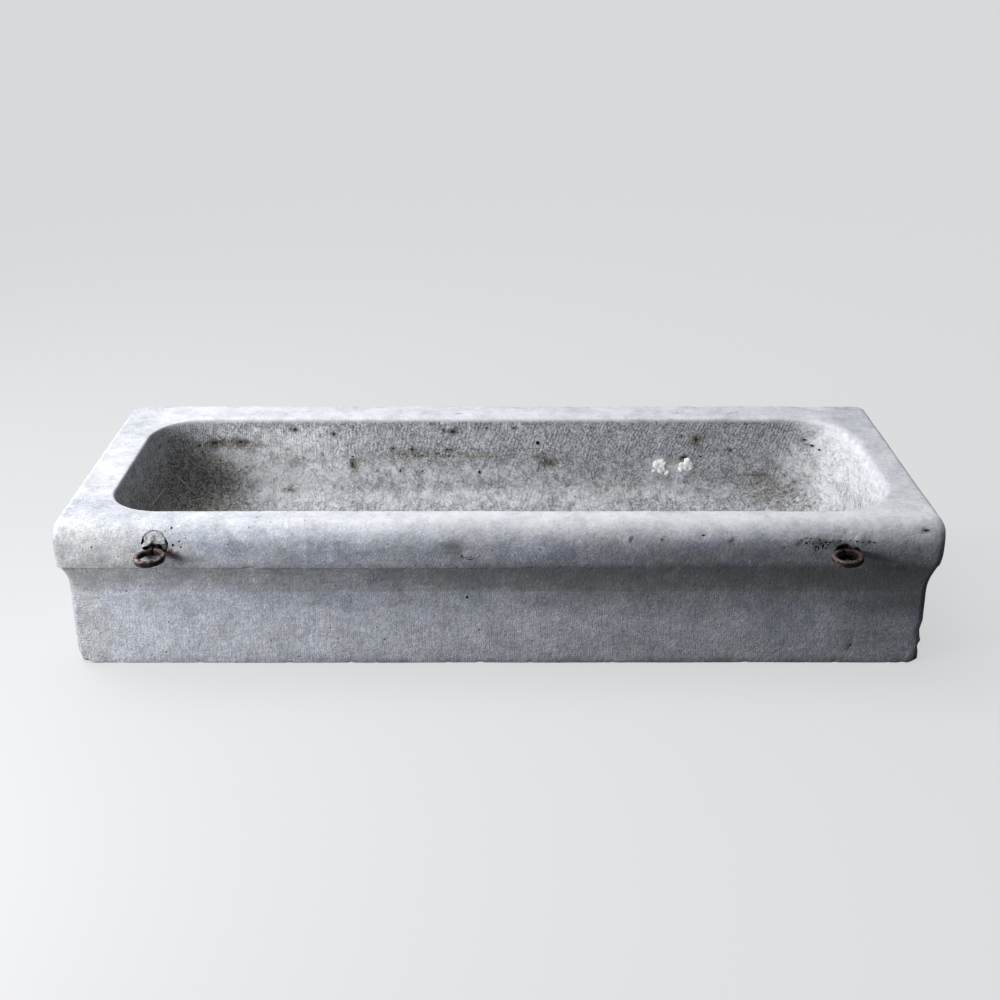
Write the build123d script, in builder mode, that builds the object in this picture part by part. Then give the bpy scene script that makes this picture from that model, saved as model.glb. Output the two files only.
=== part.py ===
# Stone manger trough, used as a planter, in millimetres.
# X runs along the length, -Y is the moulded front, +Z is up.
# The origin is the centre of the base, on the floor.

import os

from build123d import *

# Stone block
block_length = 1550.0
block_width = 620.0
block_height = 280.0
base_chamfer = 5.0
back_rounding = 6.0

# Rim, measured from the lip of the moulding to the edge of the basin
front_rim = 62.0
back_rim = 76.0
end_rim = 71.0

# Roll along the front, tighter round the ends, with drops measured from the top
front_roll_reach = 34.0
front_roll_drop = 42.0
end_roll_reach = 14.0
end_roll_drop = 20.0
lip_drop = 50.0
roll_height = 79.0
roll_undercut = 3.5
roll_corner = 12.0

# Quirk under the roll, and the cove that runs down to the plinth
quirk_step = 2.0
cove_height = 56.0
plinth_setback = 16.0
plinth_corner = 8.0

# Basin
basin_depth = 186.0
basin_corner = 110.0
basin_batter = 9.0
floor_rounding = 66.0
basin_arris = 5.0

# Forged eye, a bar bent round into a ring whose two ends run back and splay
ring_bore = 36.0
bar_thickness = 8.0
bar_height = 11.0
bar_chamfer = 2.2
shank_width = 14.0
shank_length = 38.0
splay_length = 20.0
splay_width = 23.0
tail_width = 5.5
neck_rounding = 4.0

# Where the eyes stand
eye_from_end = 177.0
eye_drop = 49.0
ring_standoff = 24.0

# How the left eye has been knocked out of true, in millimetres and degrees
left_ring_shift = -3.5
left_eye_pitch = 6.0
left_eye_roll = -9.0
left_eye_yaw = -6.0

# How the right eye has been knocked out of true
right_ring_shift = 1.0
right_eye_pitch = 2.0
right_eye_roll = -6.0
right_eye_yaw = 3.0

# Undercut sockets, and the lead run in round the shanks
socket_depth = 46.0
socket_flare = 3.0
left_socket_radius = 22.0
left_socket_drop = 37.0
left_lead_recess = 2.5
right_socket_radius = 19.0
right_socket_drop = 50.0
right_lead_recess = 15.0

# Places worked out from the sizes above
front_lip = -block_width / 2
end_lip = -block_length / 2
cove_top = block_height - roll_height
cove_bottom = cove_top - cove_height
basin_length = block_length - 2 * end_rim
basin_width = block_width - front_rim - back_rim
basin_middle = (front_rim - back_rim) / 2
ring_outer_radius = ring_bore / 2 + bar_thickness
shank_end = ring_outer_radius + shank_length
splay_start = shank_end - splay_length
eye_place = block_length / 2 - eye_from_end

os.makedirs("parts", exist_ok=True)


# Draws half a moulded section, from the flat of the rim down to the floor
def draw_moulding(lip, reach, drop):
    quirk_lip = lip + roll_undercut
    quirk_root = quirk_lip + quirk_step
    plinth_face = lip + plinth_setback
    TangentArc((lip, block_height - drop), (lip + reach, block_height), tangent=(0, 1))
    Line((lip, block_height - drop), (lip, block_height - lip_drop))
    TangentArc((lip, block_height - lip_drop), (quirk_lip, cove_top), tangent=(0, -1))
    Line((quirk_lip, cove_top), (quirk_root, cove_top))
    TangentArc((plinth_face, cove_bottom), (quirk_root, cove_top), tangent=(0, 1))
    Line((plinth_face, cove_bottom), (plinth_face, 0))


# Block worked all over, with its basin, before the sockets are cut
with BuildPart() as dressed_stone:
    # Moulded ends
    with BuildSketch(Plane.XZ.offset(-block_width / 2)):
        with BuildLine():
            draw_moulding(end_lip, end_roll_reach, end_roll_drop)
            Line((end_lip + end_roll_reach, block_height), (0, block_height))
            Line((end_lip + plinth_setback, 0), (0, 0))
            mirror(about=Plane.YZ)
        make_face()
    extrude(amount=block_width)

    # Moulded front, mitred with the ends
    with BuildSketch(Plane.YZ.offset(-block_length / 2)):
        with BuildLine():
            draw_moulding(front_lip, front_roll_reach, front_roll_drop)
            Polyline(
                (front_lip + plinth_setback, 0),
                (block_width / 2, 0),
                (block_width / 2, block_height),
                (front_lip + front_roll_reach, block_height),
            )
        make_face()
    extrude(amount=block_length, mode=Mode.INTERSECT)

    # Plinth corners, rounded up into the cove, and the worn top edge of the back
    fillet(dressed_stone.edges().filter_by(Axis.Z).group_by(Axis.Z)[0], plinth_corner)
    fillet(dressed_stone.edges().filter_by(Axis.X).group_by(Axis.Y)[-1].sort_by(Axis.Z)[-1], back_rounding)

    # Corners of the roll, rounded in plan
    with BuildSketch():
        RectangleRounded(block_length, block_width, roll_corner)
    extrude(amount=block_height, mode=Mode.INTERSECT)

    # Worn edge at the floor
    chamfer(dressed_stone.faces().sort_by(Axis.Z)[0].edges(), base_chamfer)

    # Basin with battered walls and a coved floor
    with BuildSketch(Plane.XY.offset(block_height)):
        with Locations((0, basin_middle)):
            RectangleRounded(basin_length, basin_width, basin_corner)
    extrude(amount=-basin_depth, taper=basin_batter, mode=Mode.SUBTRACT)
    basin_floor = dressed_stone.faces().filter_by(Plane.XY).sort_by(Axis.Z)[1]
    fillet(basin_floor.edges(), floor_rounding)
    rim_face = dressed_stone.faces().filter_by(Plane.XY).sort_by(Axis.Z)[-1]
    chamfer(rim_face.inner_wires().edges(), basin_arris)


# Plane of one ring, tipped and turned, with its shank running back along Y
def make_eye_plane(ring_x, pitch, roll, yaw):
    ring_centre = (ring_x, front_lip - ring_standoff, block_height - eye_drop)
    return Plane(Location(ring_centre, (pitch, roll, yaw)))


# Bar bent round into a ring, its two ends side by side as a shank with splayed tails
def make_eye(eye_plane):
    with BuildPart() as eye:
        with BuildSketch(eye_plane) as outline:
            Circle(ring_outer_radius)
            with BuildLine():
                Polyline(
                    (-shank_width / 2, 0),
                    (-shank_width / 2, splay_start),
                    (-splay_width / 2, shank_end),
                    (tail_width - splay_width / 2, shank_end),
                    (0, splay_start),
                    (splay_width / 2 - tail_width, shank_end),
                    (splay_width / 2, shank_end),
                    (shank_width / 2, splay_start),
                    (shank_width / 2, 0),
                    close=True,
                )
            make_face()
            neck_corners = outline.vertices().filter_by_position(Axis.Y, ring_bore / 2, ring_outer_radius)
            fillet(neck_corners, neck_rounding)
            Circle(ring_bore / 2, mode=Mode.SUBTRACT)
        extrude(amount=bar_height / 2, both=True)
        upright = Axis(eye_plane.origin, eye_plane.z_dir)
        chamfer(eye.edges().filter_by(upright, reverse=True), bar_chamfer)
    return eye.part


# Undercut hole that widens inwards, so that lead run into it can't draw out
def make_socket(socket_x, drop, radius):
    lip_plane = Plane((socket_x, front_lip, block_height - drop), x_dir=(1, 0, 0), z_dir=(0, 1, 0))
    with BuildPart() as socket:
        with BuildSketch(lip_plane):
            Circle(radius)
        with BuildSketch(lip_plane.offset(socket_depth)):
            Circle(radius + socket_flare)
        loft()
    return socket.part


left_eye_plane = make_eye_plane(
    left_ring_shift - eye_place, left_eye_pitch, left_eye_roll, left_eye_yaw
)
right_eye_plane = make_eye_plane(
    right_ring_shift + eye_place, right_eye_pitch, right_eye_roll, right_eye_yaw
)
left_eye = make_eye(left_eye_plane)
right_eye = make_eye(right_eye_plane)
left_socket = make_socket(-eye_place, left_socket_drop, left_socket_radius)
right_socket = make_socket(eye_place, right_socket_drop, right_socket_radius)

with BuildPart() as trough_block:
    add(dressed_stone.part)
    add([left_socket, right_socket], mode=Mode.SUBTRACT)
trough_block.part.label = "trough_block"
export_step(trough_block.part, "parts/trough_block.step")


# Lead that fills one socket, set back from the face of the roll, with the shank in it
def make_lead_setting(socket, recess, eye):
    with BuildPart() as lead_setting:
        add(socket)
        add(dressed_stone.part.moved(Location((0, recess, 0))), mode=Mode.INTERSECT)
        add(eye, mode=Mode.SUBTRACT)
    return lead_setting.part


left_eye.label = "left_tether_eye"
export_step(left_eye, "parts/left_tether_eye.step")

right_eye.label = "right_tether_eye"
export_step(right_eye, "parts/right_tether_eye.step")

left_lead_setting = make_lead_setting(left_socket, left_lead_recess, left_eye)
left_lead_setting.label = "left_lead_setting"
export_step(left_lead_setting, "parts/left_lead_setting.step")

right_lead_setting = make_lead_setting(right_socket, right_lead_recess, right_eye)
right_lead_setting.label = "right_lead_setting"
export_step(right_lead_setting, "parts/right_lead_setting.step")
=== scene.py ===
import math

import bmesh
import bpy
import numpy as np
from mathutils import Euler, Matrix, Vector, noise
from mathutils.bvhtree import BVHTree
from mathutils.kdtree import KDTree


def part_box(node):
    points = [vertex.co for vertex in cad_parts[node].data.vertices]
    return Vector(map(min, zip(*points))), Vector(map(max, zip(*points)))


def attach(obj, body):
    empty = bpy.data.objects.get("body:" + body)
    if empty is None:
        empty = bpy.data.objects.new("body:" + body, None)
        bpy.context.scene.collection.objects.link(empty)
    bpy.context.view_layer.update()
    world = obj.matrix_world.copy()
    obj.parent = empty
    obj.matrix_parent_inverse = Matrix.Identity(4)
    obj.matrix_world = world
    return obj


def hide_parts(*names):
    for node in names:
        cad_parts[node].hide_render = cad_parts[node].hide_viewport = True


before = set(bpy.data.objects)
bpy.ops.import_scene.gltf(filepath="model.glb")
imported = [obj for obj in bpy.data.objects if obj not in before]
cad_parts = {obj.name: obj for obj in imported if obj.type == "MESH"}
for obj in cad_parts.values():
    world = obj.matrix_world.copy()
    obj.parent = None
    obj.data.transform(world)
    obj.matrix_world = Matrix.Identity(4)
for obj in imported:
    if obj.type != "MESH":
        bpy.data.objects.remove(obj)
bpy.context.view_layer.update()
mm = 0.001


# sRGB hex to the linear colour that Blender works in
def colour(code):
    parts = [int(code[i:i + 2], 16) / 255 for i in (1, 3, 5)]
    return [p / 12.92 if p <= 0.04045 else ((p + 0.055) / 1.055) ** 2.4 for p in parts] + [1.0]


# adds one node with its settings, its input values and its links, and links a node by its first output
def addNode(tree, kind, inputs=None, **settings):
    node = tree.nodes.new(kind)
    for name, value in settings.items():
        setattr(node, name, value)
    for socket, value in (inputs or {}).items():
        if isinstance(value, bpy.types.Node):
            value = value.outputs[0]
        if isinstance(value, bpy.types.NodeSocket):
            tree.links.new(value, node.inputs[socket])
        else:
            node.inputs[socket].default_value = value
    return node


def mix(one, other, share):
    return one + (other - one) * share


def smooth(t):
    t = np.clip(t, 0.0, 1.0)
    return t * t * (3 - 2 * t)


# a soft step from 0 at one value to 1 at another
def ramp(value, zeroAt, oneAt):
    return smooth((value - zeroAt) / (oneAt - zeroAt))


# a soft bump, 1 at its middle and fading out over a reach
def bump(value, middle, reach):
    return np.exp(-((value - middle) / reach) ** 2)


# a soft oval patch, 1 in its middle, for points and sizes in millimetres
def patch(points, centre, radii):
    return np.exp(-np.sum(((points - np.array(centre)) / np.array(radii)) ** 2, axis=-1))


def addAttribute(mesh, name, values):
    layer = mesh.attributes.new(name, "FLOAT", "POINT")
    layer.data.foreach_set("value", np.asarray(values, np.float32))


# a mesh from points in millimetres
def meshFrom(name, points, faces):
    mesh = bpy.data.meshes.new(name)
    mesh.from_pydata([tuple(p) for p in np.asarray(points) * mm], [], faces)
    mesh.update()
    return mesh


# Faces between rings of points, one after another. The last ring is closed, and the first one too
# unless other points come before it.
def ringFaces(around, count, start=0):
    faces = []
    for r in range(count - 1):
        near, far = start + r * around, start + (r + 1) * around
        for c in range(around):
            d = (c + 1) % around
            faces.append((near + c, near + d, far + d, far + c))
    if start == 0:
        faces.append(tuple(reversed(range(around))))
    faces.append(tuple(range(start + (count - 1) * around, start + count * around)))
    return faces


# a curve of straight lines through places, each line with its share of the thickness
def curveFrom(name, lines):
    curve = bpy.data.curves.new(name, "CURVE")
    curve.dimensions = "3D"
    for share, places in lines:
        line = curve.splines.new("POLY")
        line.points.add(len(places) - 1)
        for spot, place in zip(line.points, places):
            spot.co = (*place, 1)
            spot.radius = share
    return curve


def addObject(name, data):
    made = bpy.data.objects.new(name, data)
    bpy.context.scene.collection.objects.link(made)
    return made


def addPiece(name, mesh, slot, *nodes):
    piece = addObject(name, mesh)
    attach(piece, "root")
    if nodes:
        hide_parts(*nodes)


# what an object's modifiers make of it, as a plain mesh, after which it and its helpers go
def takeMesh(source, *helpers):
    graph = bpy.context.evaluated_depsgraph_get()
    mesh = bpy.data.meshes.new_from_object(source.evaluated_get(graph))
    source.modifiers.clear()
    for spare in (source, *helpers):
        bpy.data.objects.remove(spare)
    return mesh


# a Geometry Nodes tree with an input for each size, and others of the kinds given
def startTree(name, sizes, **others):
    tree = bpy.data.node_groups.new(name, "GeometryNodeTree")
    kinds = {"Geometry": "Geometry", **{label: "Float" for label in sizes}, **others}
    for label, kind in kinds.items():
        tree.interface.new_socket(label, in_out="INPUT", socket_type="NodeSocket" + kind)
    tree.interface.new_socket("Geometry", in_out="OUTPUT", socket_type="NodeSocketGeometry")
    return tree, tree.nodes.new("NodeGroupInput").outputs


def endTree(tree, geometry, material):
    shaded = addNode(tree, "GeometryNodeSetShadeSmooth", {"Geometry": geometry})
    loose = addNode(tree, "GeometryNodeRealizeInstances", {"Geometry": shaded})
    painted = addNode(tree, "GeometryNodeSetMaterial", {"Geometry": loose, "Material": material})
    tree.links.new(painted.outputs[0], tree.nodes.new("NodeGroupOutput").inputs[0])


# runs a tree on some data, with its sizes in millimetres and its other values as they are
def growMesh(name, data, tree, sizes, others):
    source = addObject(name + "Source", data)
    modifier = source.modifiers.new(name, "NODES")
    modifier.node_group = tree
    sockets = {s.name: s.identifier for s in tree.interface.items_tree if s.in_out == "INPUT"}
    values = {**{label: size * mm for label, size in sizes.items()}, **others}
    for label, value in values.items():
        modifier[sockets[label]] = value
    mesh = takeMesh(source)
    mesh.name = name
    return mesh


# noise over a tree's geometry, its grain as big as one of the tree's inputs says
def grainNoise(tree, size, detail, seed=None):
    place = addNode(tree, "GeometryNodeInputPosition")
    scale = addNode(tree, "ShaderNodeMath", {0: 1.0, 1: size}, operation="DIVIDE")
    inputs = {"Vector": place, "Scale": scale, "Detail": detail}
    if seed is None:
        return addNode(tree, "ShaderNodeTexNoise", inputs)
    return addNode(tree, "ShaderNodeTexNoise", {**inputs, "W": seed}, noise_dimensions="4D")


# moves a surface in and out along its normals, as a noise says and up to a depth
def roughen(tree, geometry, grain, depth):
    swing = addNode(tree, "ShaderNodeMapRange", {
        "Value": grain, "From Min": 0.25, "From Max": 0.75, "To Min": -1.0, "To Max": 1.0})
    outward = addNode(tree, "GeometryNodeInputNormal")
    shift = addNode(tree, "ShaderNodeVectorMath", {
        0: outward, "Scale": both(tree, swing, depth)}, operation="SCALE")
    return addNode(tree, "GeometryNodeSetPosition", {"Geometry": geometry, "Offset": shift})


def startMaterial(name):
    material = bpy.data.materials.new(name)
    material.use_nodes = True
    tree = material.node_tree
    return material, tree, addNode(tree, "ShaderNodeTexCoord").outputs["Object"]


# gives a material's shader its coats of colour, its plain values and its relief
def endMaterial(tree, s, masks, coats, reliefs=()):
    shader = tree.nodes["Principled BSDF"]
    tree.links.new(paint(tree, s, masks, coats), shader.inputs["Base Color"])
    for name, value in s["finish"].items():
        shader.inputs[name].default_value = value
    if reliefs:
        tree.links.new(carve(tree, masks, reliefs), shader.inputs["Normal"])


# two masks at once
def both(tree, one, other):
    return addNode(tree, "ShaderNodeMath", {0: one, 1: other}, operation="MULTIPLY")


def readMark(tree, name):
    return addNode(tree, "ShaderNodeAttribute", attribute_name=name).outputs["Fac"]


# a mask from noise whose grain has a real size in millimetres, 0 below low and 1 above high
def cloud(tree, coords, size, low, high, detail=3, rough=0.5, stretch=(1, 1, 1), shift=0):
    scale = [1 / (size * mm * s) for s in stretch]
    place = addNode(tree, "ShaderNodeMapping", {"Vector": coords, "Scale": scale, "Location": (shift,) * 3})
    grain = addNode(tree, "ShaderNodeTexNoise", {
        "Vector": place, "Scale": 1.0, "Detail": detail, "Roughness": rough})
    return addNode(tree, "ShaderNodeMapRange", {
        "Value": grain, "From Min": low, "From Max": high,
    }, interpolation_type="SMOOTHSTEP")


# the part of the surface that an attribute marks, broken up by a noise of a real size
def blotch(tree, coords, attribute, size, low, high, ragged, shift):
    place = addNode(tree, "ShaderNodeVectorMath", {0: coords, 1: (shift,) * 3})
    grain = addNode(tree, "ShaderNodeTexNoise", {
        "Vector": place, "Scale": 1 / (size * mm), "Detail": 5.0, "Roughness": 0.72})
    mixed = addNode(tree, "ShaderNodeMath", {
        0: grain, 1: ragged, 2: readMark(tree, attribute)}, operation="MULTIPLY_ADD")
    return addNode(tree, "ShaderNodeMapRange", {
        "Value": mixed, "From Min": low, "From Max": high,
    }, interpolation_type="SMOOTHSTEP")


# round spots of a real size, on the share of cells whose own random number passes the limit
def spots(tree, coords, spacing, radius, limit):
    cells = addNode(tree, "ShaderNodeTexVoronoi", {"Vector": coords, "Scale": 1 / (spacing * mm)})
    chosen = addNode(tree, "ShaderNodeSeparateColor", {"Color": cells.outputs["Color"]}).outputs["Red"]
    edge = radius / spacing
    near = addNode(tree, "ShaderNodeMapRange", {
        "Value": cells.outputs["Distance"], "From Min": edge, "From Max": edge * 0.5})
    keep = addNode(tree, "ShaderNodeMath", {0: chosen, 1: limit}, operation="GREATER_THAN")
    return both(tree, near, keep)


# 1 above a height and 0 below it, both in millimetres, with an uneven edge between
def above(tree, coords, height, edge):
    level = addNode(tree, "ShaderNodeSeparateXYZ", {0: coords}).outputs[2]
    uneven = addNode(tree, "ShaderNodeMath", {
        0: cloud(tree, coords, 30, 0.3, 0.7), 1: edge * mm, 2: level}, operation="MULTIPLY_ADD")
    return addNode(tree, "ShaderNodeMapRange", {
        "Value": uneven, "From Min": height * mm, "From Max": (height + edge) * mm})


# thin wandering threads between cells of a real size
def threads(tree, coords, size, width):
    bend = addNode(tree, "ShaderNodeTexNoise", {
        "Vector": coords, "Scale": 1 / (1.4 * size * mm), "Detail": 2.0})
    shift = addNode(tree, "ShaderNodeVectorMath", {
        0: bend.outputs["Color"], "Scale": 1.3 * size * mm}, operation="SCALE")
    place = addNode(tree, "ShaderNodeVectorMath", {0: coords, 1: shift})
    cells = addNode(tree, "ShaderNodeTexVoronoi", {
        "Vector": place, "Scale": 1 / (size * mm)}, feature="DISTANCE_TO_EDGE")
    return addNode(tree, "ShaderNodeMapRange", {
        "Value": cells.outputs["Distance"], "From Min": width / size, "From Max": 0.3 * width / size})


# lays coats of colour over the body's, each where its mask says and as strongly as it says
def paint(tree, s, masks, coats):
    tone = colour(s["body"])
    for name, strength, over in coats:
        share = both(tree, masks[name], strength)
        tone = addNode(tree, "ShaderNodeMix", {
            0: share, 6: tone, 7: colour(s[over])}, data_type="RGBA").outputs[2]
    return tone


# adds up reliefs, each a mask and a height in millimetres, and turns them into a bent normal
def carve(tree, masks, reliefs):
    height = 0.0
    for name, rise in reliefs:
        height = addNode(tree, "ShaderNodeMath", {
            0: masks[name], 1: rise * mm, 2: height}, operation="MULTIPLY_ADD")
    return addNode(tree, "ShaderNodeBump", {"Height": height, "Distance": 1.0, "Strength": 1.0}).outputs[0]


# Bluestone, a dense blue-grey limestone full of small fossil shells, dressed by hand and weathered:
# fully matt, paler where it is worn, streaked by the tools, with dark pores and pale specks
bluestone = {
    "body": "#a9aebb",
    "bodyPale": "#d9dce6",
    "bodyDark": "#777d8c",
    "slate": "#7f8daa",
    "buff": "#b5b2aa",
    "bleached": "#c2c1bd",
    "band": "#605f5b",
    "shell": "#dddfe1",
    "pore": "#4c4b49",
    "worn": "#dfe0e5",
    "basin": "#dfe0e4",
    "basinDark": "#70737a",
    "soil": "#7d7a74",
    "soilDark": "#55534d",
    "root": "#bbb7ae",
    "lime": "#eaecf0",
    "grimeAndPaintedShade": "#646669",
    "rust": "#614534",
    "strokePitch": 7.2,
    "strokeWander": 11.0,
    "poreSpots": {"spacing": 12, "radius": 1.9, "limit": 0.86},
    "rootThreads": {"size": 9, "width": 1.1},
    "wearSmooths": 0.75,
    "bandFoot": {"height": 145, "edge": 3.0},
    "finish": {"Roughness": 0.88, "Specular IOR Level": 0.35},
}
# What is marked by an attribute, broken up by noise: the attribute, the grain's size in millimetres,
# where the mask starts and is full, how much the noise breaks it up, and the noise's shift
stoneBlotches = {
    "worn": ("worn", 40, 0.45, 1.65, 1.1, 0),
    "bleached": ("bleached", 30, 0.8, 1.6, 1.6, 0),
    "grimeAndPaintedShade": ("grimeAndPaintedShade", 45, 0.5, 1.9, 1.6, 0),
    "lime": ("lime", 20, 0.95, 1.5, 1.6, 2),
    "soil": ("soil", 26, 1.15, 1.6, 1.9, 0),
    "soilFine": ("soil", 10, 1.5, 1.8, 2.2, 5),
    "soilWide": ("soil", 26, 0.95, 1.4, 1.6, 57),
    "stainAndPaintedShadow": ("stainAndPaintedShadow", 5, 0.95, 1.5, 1.6, 8),
    "rust": ("rust", 6, 1.0, 1.9, 1.6, 0),
}
# Patterns of noise: the grain's size in millimetres, where the mask starts and is full, the noise's
# detail, roughness, stretch and shift, and the mask that the pattern stays within
stoneClouds = {
    "wander": (80, 0.2, 0.8, 2, 0.5, (1, 1, 1), 0, None),
    "broken": (12, 0.38, 0.56, 4, 0.5, (0.7, 2, 1.6), 3, "strokes"),
    "patches": (170, 0.4, 0.6, 3, 0.5, (1, 1, 1), 0, None),
    "shades": (36, 0.46, 0.74, 6, 0.5, (1, 1, 1), 7, None),
    "slate": (46, 0.42, 0.6, 5, 0.62, (1.7, 1, 1), 23, None),
    "buff": (24, 0.5, 0.66, 4, 0.66, (1.8, 1, 1), 29, None),
    "mottleWide": (38, 0.47, 0.6, 6, 0.68, (1, 2.2, 1), 61, "basin"),
    "mottle": (17, 0.49, 0.61, 5, 0.72, (1, 2.2, 1), 11, "basin"),
    "dark": (6, 0.54, 0.61, 4, 0.6, (1, 2.2, 1), 13, "basin"),
    "pale": (6, 0.55, 0.61, 4, 0.6, (1, 2.2, 1), 19, "basin"),
    "speckle": (9, 0.44, 0.62, 5, 0.64, (1.5, 1, 1), 31, "unworn"),
    "fleck": (10, 0.5, 0.64, 5, 0.64, (1.5, 1, 1), 37, None),
    "upright": (2.6, 0.42, 0.62, 2, 0.5, (1, 1, 11), 0, "plinth"),
    "crosswise": (2.8, 0.46, 0.64, 2, 0.5, (12, 3, 1), 33, "plinth"),
    "grain": (3.2, 0.32, 0.68, 4, 0.5, (1, 1, 1), 0, "unworn"),
    "grit": (3.6, 0.51, 0.58, 2, 0.5, (1, 1, 1), 41, "basin"),
    "shells": (3.8, 0.62, 0.7, 1.5, 0.5, (1, 1, 1), 0, None),
    "shellsFine": (2.4, 0.58, 0.68, 1, 0.5, (1, 1, 1), 5, None),
    "level": (3.4, 0.44, 0.66, 3, 0.5, (16, 4, 1), 0, "band"),
    "specks": (8, 0.53, 0.58, 5, 0.68, (1, 1, 1), 53, "soilWide"),
    "chalk": (3.8, 0.55, 0.61, 2, 0.5, (1, 1, 1), 43, "basin"),
    "crumbs": (3.6, 0.54, 0.62, 3, 0.5, (1, 1, 1), 47, "soil"),
    "rootPatches": (24, 0.46, 0.6, 3, 0.5, (1, 1, 1), 17, None),
    "swell": (8, 0.3, 0.7, 3, 0.5, (1, 1, 1), 9, "unworn"),
}
# Coats from the bare stone outwards: the mask, how strongly it covers, and its colour. The plinth's pale coat
# is painted light, and the dark coat for grime is partly painted shade.
stoneCoats = [
    ("patches", 0.6, "bodyPale"), ("shades", 0.5, "bodyDark"), ("slate", 0.58, "slate"),
    ("plinth", 0.92, "bodyPale"), ("buff", 0.45, "buff"), ("bleached", 0.8, "bleached"),
    ("basin", 0.9, "basin"), ("worn", 0.95, "worn"), ("mottleWide", 0.26, "basinDark"),
    ("mottle", 0.52, "basinDark"), ("dark", 0.76, "soil"), ("pale", 0.95, "lime"),
    ("speckle", 0.34, "bodyDark"), ("fleck", 0.32, "shell"), ("upright", 0.34, "bodyDark"),
    ("crosswise", 0.2, "bodyDark"), ("grain", 0.44, "bodyDark"), ("grit", 0.5, "basinDark"),
    ("toolStrokes", 0.56, "bodyDark"), ("shells", 0.6, "shell"), ("shellsFine", 0.5, "shell"),
    ("grimeAndPaintedShade", 0.9, "grimeAndPaintedShade"), ("band", 0.3, "band"), ("level", 0.24, "band"), ("lime", 0.9, "lime"),
    ("soil", 0.54, "soil"), ("soilFine", 0.65, "soilDark"), ("specks", 0.8, "soilDark"),
    ("chalk", 0.6, "shell"), ("crumbs", 0.72, "root"), ("roots", 0.75, "root"),
    ("stainAndPaintedShadow", 0.8, "soilDark"), ("rust", 0.9, "rust"), ("pores", 0.6, "pore"),
]
# What stands out or in, in millimetres
stoneReliefs = [("grain", 0.3), ("mottle", -1.6), ("dark", -0.8), ("pale", 0.6), ("swell", 0.4),
                ("toolStrokes", -0.9), ("pores", -0.9)]


# tool strokes: an attribute counts the distance across them, and noise bends and breaks them
def makeToolStrokes(tree, masks):
    across = addNode(tree, "ShaderNodeMath", {
        0: masks["wander"], 1: bluestone["strokeWander"] * mm, 2: masks["strokeAcross"],
    }, operation="MULTIPLY_ADD")
    turns = addNode(tree, "ShaderNodeMath", {
        0: across, 1: 2 * math.pi / (bluestone["strokePitch"] * mm)}, operation="MULTIPLY")
    wave = addNode(tree, "ShaderNodeMath", {0: turns}, operation="SINE")
    groove = addNode(tree, "ShaderNodeMapRange", {"Value": wave, "From Min": -0.3, "From Max": 1.0})
    return both(tree, groove, masks["broken"])


def makeBluestone():
    s = bluestone
    material, tree, coords = startMaterial("bluestoneHandDressed")
    masks = {name: readMark(tree, name) for name in ("basin", "cove", "plinth", "strokeAcross", "strokes")}
    for name, (attribute, *shape) in stoneBlotches.items():
        masks[name] = blotch(tree, coords, attribute, *shape)
    masks["unworn"] = addNode(tree, "ShaderNodeMath", {
        0: masks["worn"], 1: -s["wearSmooths"], 2: 1.0}, operation="MULTIPLY_ADD")
    masks["band"] = both(tree, masks["cove"], above(tree, coords, **s["bandFoot"]))
    for name, (*shape, within) in stoneClouds.items():
        mask = cloud(tree, coords, *shape)
        masks[name] = both(tree, mask, masks[within]) if within else mask
    masks["toolStrokes"] = makeToolStrokes(tree, masks)
    masks["pores"] = spots(tree, coords, **s["poreSpots"])
    rootThreads = both(tree, threads(tree, coords, **s["rootThreads"]), masks["rootPatches"])
    masks["roots"] = both(tree, rootThreads, masks["soil"])
    endMaterial(tree, s, masks, stoneCoats, stoneReliefs)
    return material


# Soil packed into holes: nearly black and wholly matt
packedSoil = {"body": "#35332f", "patch": "#66635d", "cover": 0.6,
              "patches": {"size": 2.5, "low": 0.45, "high": 0.65},
              "finish": {"Roughness": 1.0, "Specular IOR Level": 0.1}}
# Lime crust, a chalky white deposit left by hard water
limeDeposit = {"body": "#f4f4f3", "patch": "#cfcecb", "cover": 0.4,
               "patches": {"size": 4, "low": 0.55, "high": 0.7}, "finish": {"Roughness": 0.95}}
# Dried roots, pale as straw and dry, with darker bark left on them
driedRoot = {"body": "#c9c6bb", "patch": "#8b877d", "cover": 0.5,
             "patches": {"size": 5, "low": 0.5, "high": 0.65}, "finish": {"Roughness": 0.9}}


# a material of one colour, with patches of another over it
def makePatched(name, s):
    material, tree, coords = startMaterial(name)
    endMaterial(tree, s, {"patches": cloud(tree, coords, **s["patches"])}, [("patches", s["cover"], "patch")])
    return material


# Wrought iron, forged by hand and rusted through its scale: dark brown, dry, with a dusty pink bloom, partly
# painted light on the rings' lit left side
wroughtIron = {
    "body": "#2c1f1a",
    "rustBright": "#543f39",
    "rustBloom": "#7b6b69",
    "rustDust": "#9c9192",
    "scale": "#120e0d",
    "finish": {"Roughness": 0.9, "Specular IOR Level": 0.2},
}
# Patterns of noise, as their grain in millimetres and where the mask starts and is full
ironClouds = {
    "flakes": {"size": 3.0, "low": 0.42, "high": 0.62, "detail": 5},
    "grain": {"size": 1.3, "low": 0.3, "high": 0.7},
    "bright": {"size": 9, "low": 0.45, "high": 0.6},
    "bloomAndPaintedLight": {"size": 6, "low": 0.36, "high": 0.56, "detail": 5, "shift": 9},
    "dustAndPaintedLight": {"size": 7, "low": 0.4, "high": 0.58, "detail": 5, "shift": 4},
}
# how far the surface faces up where each starts and is full: dust settles on top, and the downward faces get
# the dark scale colour as painted shade
ironFacings = {"upward": (0.35, 0.9), "paintedUnderShade": (0.5, -0.05)}
ironCoats = [("bright", 0.7, "rustBright"), ("flakes", 0.5, "scale"), ("paintedUnderShade", 0.92, "scale"),
             ("bloomAndPaintedLight", 0.7, "rustBloom"), ("dustAndPaintedLight", 0.9, "rustDust")]
ironReliefs = [("flakes", -0.35), ("grain", 0.25)]


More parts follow.
